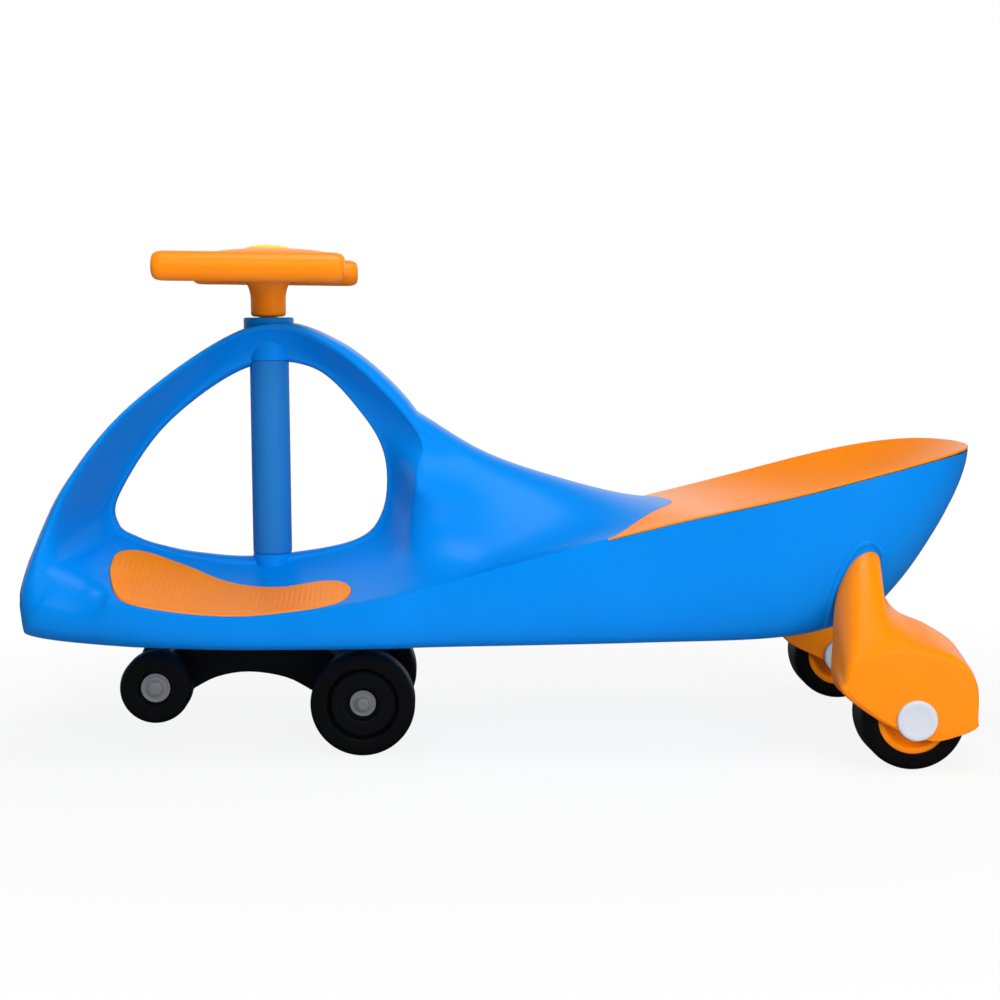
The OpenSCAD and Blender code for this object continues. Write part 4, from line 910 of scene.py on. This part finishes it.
class WIGGLE_OT_steering_wheel(bpy.types.Operator):
    """Builds the steering wheel: two grips, butterfly arms, a domed middle and a stem"""

    bl_idname = "wiggle.steering_wheel"
    bl_label = "Steering wheel"

    def execute(self, context):
        sizes = settings().steering
        low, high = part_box("steering_wheel")
        axis = steering_axis()
        r = sizes.grip_diameter / 2
        grip_z = sizes.grip_height
        plate = sizes.grip_diameter * PLATE
        stem, under = sizes.stem_diameter / 2, grip_z - plate * 0.9
        reach, across = sizes.grip_length / 2, high.y - r
        grip_way = Vector((math.cos(sizes.grip_tilt), 0, -math.sin(sizes.grip_tilt)))
        grip = ((0, -reach), (r, -reach, r * 0.75), (r, reach, r * 0.75), (0, reach))
        parts = [spun(grip, axis + Vector((-sizes.grip_lead, side * across, grip_z)), grip_way, 48)
                 for side in SIDES.values()]
        root, neck, end = ARM

        def arm_point(col, row):
            t = abs(row - 20) / 20
            waist = (1 - t) ** 2 * root + 2 * t * (1 - t) * neck + t * t * end
            return axis + Vector(((col / 8 - 1) * waist * sizes.grip_length, (row / 20 - 1) * across,
                                  grip_z - plate / 2))

        parts.append(thickened(surface(16, 40, arm_point), UP * plate))
        dome_r = sizes.dome_diameter / 2
        dome = [(0, under), (dome_r - plate, under)]
        for k in range(16, -1, -1):
            a = math.pi / 2 * k / 16
            rise = DOME_EDGE + (1 - DOME_EDGE) * math.cos(a)
            dome.append((dome_r * math.sin(a), grip_z + sizes.dome_rise * rise))
        parts.append(spun(dome, axis, UP, 96))
        flare = stem * 0.3
        parts.append(spun(((0, low.z), (stem, low.z, 0.0016), (stem, under - 2 * flare, 0.006),
                           (stem + flare, under), (stem + flare, grip_z), (0, grip_z)), axis, UP, 96))
        wheel = add_object("butterfly_wheel", joined(*parts))
        remesh = wheel.modifiers.new("one_skin", "REMESH")
        remesh.mode, remesh.voxel_size = "VOXEL", sizes.voxel
        fillet = wheel.modifiers.new("fillets", "SMOOTH")
        fillet.factor, fillet.iterations = 0.5, 14
        baked(wheel)
        cap_seat, cap_gap, cap_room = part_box("wheel_cap")[0].z, 0.0003, 0.03
        combined(wheel, prism(96, node_radius("wheel_cap") + cap_gap, axis + UP * cap_seat, UP, cap_room), "DIFFERENCE")
        settled(wheel, "orange_plastic", "steering_wheel", angle=50)
        return {"FINISHED"}


class WIGGLE_OT_truck(bpy.types.Operator):
    """Builds the truck under the deck that the front wheels and the rollers run on"""

    bl_idname = "wiggle.truck"
    bl_label = "Truck"

    def execute(self, context):
        sizes = settings().steering
        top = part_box("steering_truck")[1].z
        wheel, wheel_in, _ = axle("front_tyre_right")
        roller, roller_in, _ = axle("roller_right")
        base = wheel.z - sizes.tube * 0.8
        tall, reach = top - base, wheel.x - roller.x
        half = sizes.beam_width / 2
        bm = bmesh.new()
        outline = [ring_at(BEAM, k / 4) for k in range(len(BEAM) * 4)]
        bm.faces.new([bm.verts.new((roller.x + x * reach, -half, base + min(z, BEAM_TOP) * tall)) for x, z in outline])
        truck = add_object("truck_beam", rounded_edges(thickened(bm, ACROSS * 2 * half), BEAM_EDGE, math.radians(60)))
        under = base + tall * BEAM_HUB
        hub = ((0, under), (TRUCK_HUB, under, SOFT), (TRUCK_HUB, top, EASED), (0, top))
        combined(truck, spun(hub, steering_axis(), UP, 96), "UNION")
        for centre, face in ((wheel, wheel_in), (roller, roller_in)):
            end = face - RUN_GAP
            tube = ((0, -end), (sizes.tube, -end, EASED), (sizes.tube, end, EASED), (0, end))
            combined(truck, spun(tube, centre, ACROSS, 64), "UNION")
        settled(truck, "black_plastic", "steering_truck")
        return {"FINISHED"}


class WIGGLE_OT_front_wheels(bpy.types.Operator):
    """Builds the front wheels, the rollers and their fasteners"""

    bl_idname = "wiggle.front_wheels"
    bl_label = "Front wheels"

    def execute(self, context):
        sizes = settings().wheel
        steps = sizes.steps
        nuts, washers, bolts, roller_washers = [], [], [], []
        for name, side in SIDES.items():
            out = ACROSS * side
            centre, near, far = axle(f"front_tyre_{name}")
            r, hub = centre.z, node_radius(f"front_hub_{name}")
            wide, round_r = far - near, sizes.shoulder
            lip = wide * 0.08
            tyre = ((hub, near + 2 * lip), (hub + lip, near, EASED), (r, near, round_r), (r, far, round_r),
                    (hub + lip, far, EASED), (hub, far - 2 * lip))
            add_piece(f"front_tread_{name}", spun(tyre, centre, out, steps, ring=True), "black_tyre",
                      f"front_tyre_{name}")
            recess, face, depth = r * 0.324, far - wide * 0.05, far - wide * 0.3
            disc = ((BORE, near + lip), (hub - lip, near + lip, EASED), (hub, near + 2 * lip), (hub, face - lip),
                    (hub - lip, face, 0.0012), (recess + lip, face, SOFT), (recess, face - lip / 2, 0.0008),
                    (recess, depth, EASED), (BORE, depth))
            add_piece(f"front_disc_{name}", spun(disc, centre, out, steps, ring=True), "black_plastic",
                      f"front_hub_{name}")
            washers.append(ringed_washer(centre, out, depth, r * 0.25, steps))
            seat = centre + out * (depth + RUN_GAP + WASHER)
            nuts.append(prism(6, NUT_RADIUS, seat, out, NUT_HEIGHT, edge=CRISP))
            centre, near, far = axle(f"roller_{name}")
            r, wide = node_radius(f"roller_{name}"), far - near
            recess, depth, round_r = r * 0.48, far - wide * 0.2, wide * 0.18
            roller = ((LOOSE_BORE, near), (r, near, round_r), (r, far, round_r), (recess + round_r / 2, far, 0.0015),
                      (recess, far - round_r / 2, EASED), (recess, depth, EASED), (LOOSE_BORE, depth))
            add_piece(f"roller_wheel_{name}", spun(roller, centre, out, steps, ring=True), "black_tyre",
                      f"roller_{name}")
            roller_washers.append(ringed_washer(centre, out, depth, recess * 0.85, steps))
            start, seat = near * 0.45, depth + RUN_GAP + WASHER
            bolts.append(prism(6, HEAD_RADIUS, centre + out * seat, out, HEAD_HEIGHT, edge=CRISP))
            bolts.append(prism(32, BOLT_RADIUS, centre + out * start, out, seat + BOLT_OVERLAP - start))
        for name, parts, node in (("axle_nuts", nuts, "front_axle_nuts"), ("washers", washers, "front_axle_washers"),
                                  ("hex_bolts", bolts, "roller_bolts"),
                                  ("small_washers", roller_washers, "roller_washers")):
            add_piece(f"front_{name}", joined(*parts), "steel", node)
        return {"FINISHED"}


def ringed_washer(centre, out, depth, radius, steps):
    """A washer with two raised rings, just off the bottom of a recess."""
    face, fine = depth + RUN_GAP, 0.0003
    high = face + WASHER
    groove = high - WASHER * 0.3
    profile = ((LOOSE_BORE, face), (radius, face, fine), (radius, high, 0.0004), (radius * 0.86, high, fine),
               (radius * 0.8, groove, fine), (radius * 0.7, groove, fine), (radius * 0.64, high, fine),
               (LOOSE_BORE, high))
    return spun(profile, centre, out, steps, ring=True)


class WIGGLE_OT_rear_wheels(bpy.types.Operator):
    """Builds the rear tyres and their dished hubs"""

    bl_idname = "wiggle.rear_wheels"
    bl_label = "Rear wheels"

    def execute(self, context):
        sizes = settings().wheel
        for name, side in SIDES.items():
            out = ACROSS * side
            centre, near, far = axle(f"rear_tyre_{name}")
            _, inner, outer = axle(f"rear_hub_{name}")
            hub, r, wide = node_radius(f"rear_hub_{name}"), centre.z, far - near
            tyre = ((hub, near), (r, near, sizes.shoulder), (r, far, sizes.shoulder), (hub, far, EASED))
            add_piece(f"rear_tread_{name}", spun(tyre, centre, out, sizes.steps, ring=True), "black_tyre",
                      f"rear_tyre_{name}")
            rib = wide * 0.1
            rim, boss, bore = hub - rib, 0.005 + 2 * rib, 0.0051
            a, b = near + rib / 2, far - rib / 2
            disc = ((bore, inner), (boss, inner, CRISP), (boss, a + rib, EASED), (rim - rib, a + rib, SOFT),
                    (rim, a, EASED), (hub, a, 0.0005), (hub, b, 0.0005), (rim, b, EASED),
                    (rim - rib, b - rib, SOFT), (boss, b - rib, EASED), (boss, outer, CRISP), (bore, outer))
            add_piece(f"rear_disc_{name}", spun(disc, centre, out, sizes.steps, ring=True), "orange_plastic",
                      f"rear_hub_{name}")
        return {"FINISHED"}


class WIGGLE_OT_pods(bpy.types.Operator):
    """Builds the pods that carry and cover the rear wheels, and the caps on them"""

    bl_idname = "wiggle.pods"
    bl_label = "Pods"

    def execute(self, context):
        sizes = settings().wheel
        for name, side in SIDES.items():
            centre, near, far = axle(f"rear_tyre_{name}")
            wheel = 2 * centre.z
            inner, outer = near - sizes.pod_gap - sizes.pod_wall, far + sizes.pod_gap + sizes.pod_wall
            middle = Vector((0, 0.3 * wheel))
            cols = len(POD_INNER) * 8

            def outline(u, share, draw):
                mix = share**POD_MIX_POWER
                a, b = Vector(ring_at(POD_INNER, u)), Vector(ring_at(POD_OUTER, u))
                p = a.lerp(b, mix) * wheel
                soft = min(1, max(POD_LOW_SHARE, POD_LOW_SHARE + p.y / wheel))
                p -= (p - middle).normalized() * draw * soft
                return Vector((centre.x + p.x, inner + (outer - inner) * share, centre.z + p.y))

            shares = [POD_INSIDE * (1 - math.cos(math.pi / 2 * k / 5)) for k in range(5)]
            shares += [POD_INSIDE + (POD_OUTSIDE - POD_INSIDE) * k / 24 for k in range(25)]
            shares += [POD_OUTSIDE + (1 - POD_OUTSIDE) * math.sin(math.pi / 2 * k / 6) for k in range(1, 7)]

            def place(col, row):
                share = shares[row]
                inside = max(0, POD_INSIDE - share) / POD_INSIDE
                outside = max(0, share - POD_OUTSIDE) / (1 - POD_OUTSIDE)
                draw = POD_INNER_DRAW * (1 - power(1 - inside**2, 0.5)) + 1 - power(1 - outside**2, 0.5)
                return outline(-col / cols * len(POD_INNER), share, draw * sizes.pod_edge)

            bm = surface(cols, len(shares) - 1, place)
            bmesh.ops.remove_doubles(bm, verts=bm.verts, dist=MERGE)
            bmesh.ops.holes_fill(bm, edges=[e for e in bm.edges if e.is_boundary])
            pod = add_object(f"wheel_pod_{name}", closed(bm))
            lip = [outline(POD_LIP_FROM + (POD_LIP_TO - POD_LIP_FROM) * k / 60, 1, sizes.pod_edge + sizes.lip * 3)
                   for k in range(61)]
            combined(pod, cord_along(lip, sizes.lip), "UNION")
            well = prism(128, centre.z + sizes.pod_gap, centre + ACROSS * (near - sizes.pod_gap), ACROSS,
                         far - near + 2 * sizes.pod_gap)
            combined(pod, well, "DIFFERENCE")
            if side == LEFT:
                pod.data.transform(Matrix.Scale(-1, 4, ACROSS))
                pod.data.flip_normals()
            settled(pod, "orange_plastic", f"rear_pod_{name}")
            r, thick = node_radius(f"axle_caps_{name}"), 0.0035
            dip = thick * 0.86
            cap = ((0, 0), (r, 0), (r, thick, 0.0018), (r * 0.72, thick, SOFT), (r * 0.6, dip, SOFT), (0, dip))
            caps = [spun(cap, centre + ACROSS * side * face, ACROSS * way, sizes.steps)
                    for face, way in ((outer, side), (inner, -side))]
            add_piece(f"caps_{name}", joined(*caps), "white_plastic", f"axle_caps_{name}")
        return {"FINISHED"}


class WIGGLE_OT_carried_over(bpy.types.Operator):
    """Gives the CAD nodes that still show their finish"""

    bl_idname = "wiggle.carried_over"
    bl_label = "CAD pieces"

    def execute(self, context):
        for row in frame["record"]["subparts"]:
            node = frame["nodes"][row["node"]]
            node.data.materials.clear()
            node.data.materials.append(finish(row["material_slot"]))
        return {"FINISHED"}


class WIGGLE_OT_stage(bpy.types.Operator):
    """Sets the floor, the lights, the surroundings and the camera"""

    bl_idname = "wiggle.stage"
    bl_label = "Stage"

    def execute(self, context):
        sizes = settings().stage
        scene = context.scene
        scene.view_settings.view_transform = "Standard"
        bm = bmesh.new()
        bmesh.ops.create_grid(bm, x_segments=1, y_segments=1, size=FLOOR_REACH)
        floor = add_object("floor", bm)
        floor.data.materials.append(studio_floor())
        scene.world = studio_surroundings(sizes.sky)
        for name, (place, size) in LAMPS.items():
            lamp = bpy.data.lights.new(name, "AREA")
            lamp.shape, lamp.size, lamp.energy = "DISK", size, getattr(sizes, name)
            made = bpy.data.objects.new(name, lamp)
            made.location = place
            made.visible_glossy = name == "top"
            made.rotation_mode = "QUATERNION"
            made.rotation_quaternion = (LAMP_TARGET - Vector(place)).to_track_quat("-Z", "Y")
            scene.collection.objects.link(made)
        lens = bpy.data.cameras.new("camera")
        lens.lens, lens.sensor_width, lens.clip_start, lens.clip_end = sizes.lens, SENSOR, 0.01, 100
        camera = bpy.data.objects.new("camera", lens)
        look = Vector((math.sin(sizes.yaw) * math.cos(sizes.pitch), math.cos(sizes.yaw) * math.cos(sizes.pitch),
                       -math.sin(sizes.pitch)))
        right = Vector((math.cos(sizes.yaw), -math.sin(sizes.yaw), 0))
        up = right.cross(look)
        turned = right * math.cos(sizes.roll) + up * math.sin(sizes.roll)
        axes = Matrix((turned, turned.cross(look), -look)).transposed()
        camera.matrix_world = Matrix.Translation(Vector(sizes.place)) @ axes.to_4x4()
        scene.collection.objects.link(camera)
        scene.camera = camera
        return {"FINISHED"}


def studio_floor():
    """Pale floor that takes the shadow near the object, runs out into white and isn't seen from below."""
    made, tree = new_tree("studio_floor")
    place = add_node(tree, "ShaderNodeTexCoord").outputs["Object"]
    away = add_node(tree, "ShaderNodeVectorMath", {0: place}, operation="LENGTH").outputs["Value"]
    out = add_node(tree, "ShaderNodeMapRange", {"Value": away, "From Min": 0.35, "From Max": 0.8, "To Min": 0.88},
                   interpolation_type="SMOOTHSTEP").outputs["Result"]
    rays = add_node(tree, "ShaderNodeLightPath").outputs
    seen = add_node(tree, "ShaderNodeMath", {0: out, 1: rays["Is Camera Ray"]}, operation="MULTIPLY").outputs["Value"]
    grain = add_node(tree, "ShaderNodeTexNoise", {"Vector": place, "Scale": 400}).outputs["Fac"]
    tone = add_node(tree, "ShaderNodeMix", {"Factor": grain, 6: linear("#DADADA"), 7: linear("#E2E2E2")},
                    data_type="RGBA").outputs[2]
    dim = add_node(tree, "ShaderNodeMix", {"Factor": rays["Is Glossy Ray"], 6: tone, 7: linear("#404040")},
                   data_type="RGBA").outputs[2]
    paper = add_node(tree, "ShaderNodeBsdfPrincipled", {"Base Color": dim, "Roughness": 0.9})
    white = add_node(tree, "ShaderNodeEmission", {"Color": (1, 1, 1, 1), "Strength": 1.0})
    mixed = add_node(tree, "ShaderNodeMixShader", {0: seen, 1: paper.outputs["BSDF"], 2: white.outputs["Emission"]})
    below = add_node(tree, "ShaderNodeNewGeometry").outputs["Backfacing"]
    clear = add_node(tree, "ShaderNodeBsdfTransparent").outputs["BSDF"]
    sided = add_node(tree, "ShaderNodeMixShader", {0: below, 1: mixed.outputs["Shader"], 2: clear})
    add_node(tree, "ShaderNodeOutputMaterial", {"Surface": sided.outputs["Shader"]})
    return made


def studio_surroundings(strength):
    """White behind the object, also in its reflections, a dim room before it, and a softer white that lights it."""
    world = bpy.data.worlds.new("studio")
    world.use_nodes = True
    tree = world.node_tree
    tree.nodes.clear()
    way = add_node(tree, "ShaderNodeTexCoord").outputs["Generated"]
    way = add_node(tree, "ShaderNodeSeparateXYZ", {"Vector": way}).outputs
    back = add_node(tree, "ShaderNodeMapRange", {"Value": way["Y"], "From Min": -0.3, "From Max": 0.3, "To Min": 0.08},
                    interpolation_type="SMOOTHSTEP").outputs["Result"]
    low = add_node(tree, "ShaderNodeMapRange", {"Value": way["Z"], "From Min": 0.75, "From Max": 0.4, "To Min": 0.15},
                   interpolation_type="SMOOTHSTEP").outputs["Result"]
    room = add_node(tree, "ShaderNodeMath", {0: back, 1: low}, operation="MULTIPLY").outputs["Value"]
    rays = add_node(tree, "ShaderNodeLightPath").outputs
    lit = add_node(tree, "ShaderNodeBackground", {"Color": (1, 1, 1, 1), "Strength": strength})
    mirrored_room = add_node(tree, "ShaderNodeBackground", {"Color": (1, 1, 1, 1), "Strength": room})
    seen = add_node(tree, "ShaderNodeBackground", {"Color": (1, 1, 1, 1), "Strength": 1.0})
    shine = add_node(tree, "ShaderNodeMixShader", {0: rays["Is Glossy Ray"], 1: lit.outputs["Background"],
                                                   2: mirrored_room.outputs["Background"]})
    mixed = add_node(tree, "ShaderNodeMixShader", {0: rays["Is Camera Ray"], 1: shine.outputs["Shader"],
                                                   2: seen.outputs["Background"]})
    add_node(tree, "ShaderNodeOutputWorld", {"Surface": mixed.outputs["Shader"]})
    return world


class WIGGLE_PT_panel(bpy.types.Panel):
    """Lists the pieces in the order they are built"""

    bl_idname = "WIGGLE_PT_panel"
    bl_label = "Wiggle Car"
    bl_space_type = "VIEW_3D"
    bl_region_type = "UI"
    bl_category = "Wiggle Car"

    def draw(self, context):
        for operator in OPERATORS:
            self.layout.operator(operator.bl_idname)


GROUPS = (BodySettings, InsertSettings, SteeringSettings, WheelSettings, PaintSettings, StageSettings,
          WiggleCarSettings)
OPERATORS = (WIGGLE_OT_body, WIGGLE_OT_seat, WIGGLE_OT_foot_pads, WIGGLE_OT_column, WIGGLE_OT_steering_wheel,
             WIGGLE_OT_truck, WIGGLE_OT_front_wheels, WIGGLE_OT_rear_wheels, WIGGLE_OT_pods, WIGGLE_OT_carried_over,
             WIGGLE_OT_stage)


def register():
    """Registers the settings, the operators and the panel."""
    for item in (*GROUPS, *OPERATORS, WIGGLE_PT_panel):
        bpy.utils.register_class(item)
    bpy.types.Scene.wiggle_car = PointerProperty(type=WiggleCarSettings)


def unregister():
    """Takes the settings, the operators and the panel away again."""
    del bpy.types.Scene.wiggle_car
    for item in reversed((*GROUPS, *OPERATORS, WIGGLE_PT_panel)):
        bpy.utils.unregister_class(item)


def main():
    """Builds every piece."""
    register()
    for operator in OPERATORS:
        group, name = operator.bl_idname.split(".")
        getattr(getattr(bpy.ops, group), name)()


if __name__ == "__main__":
    main()
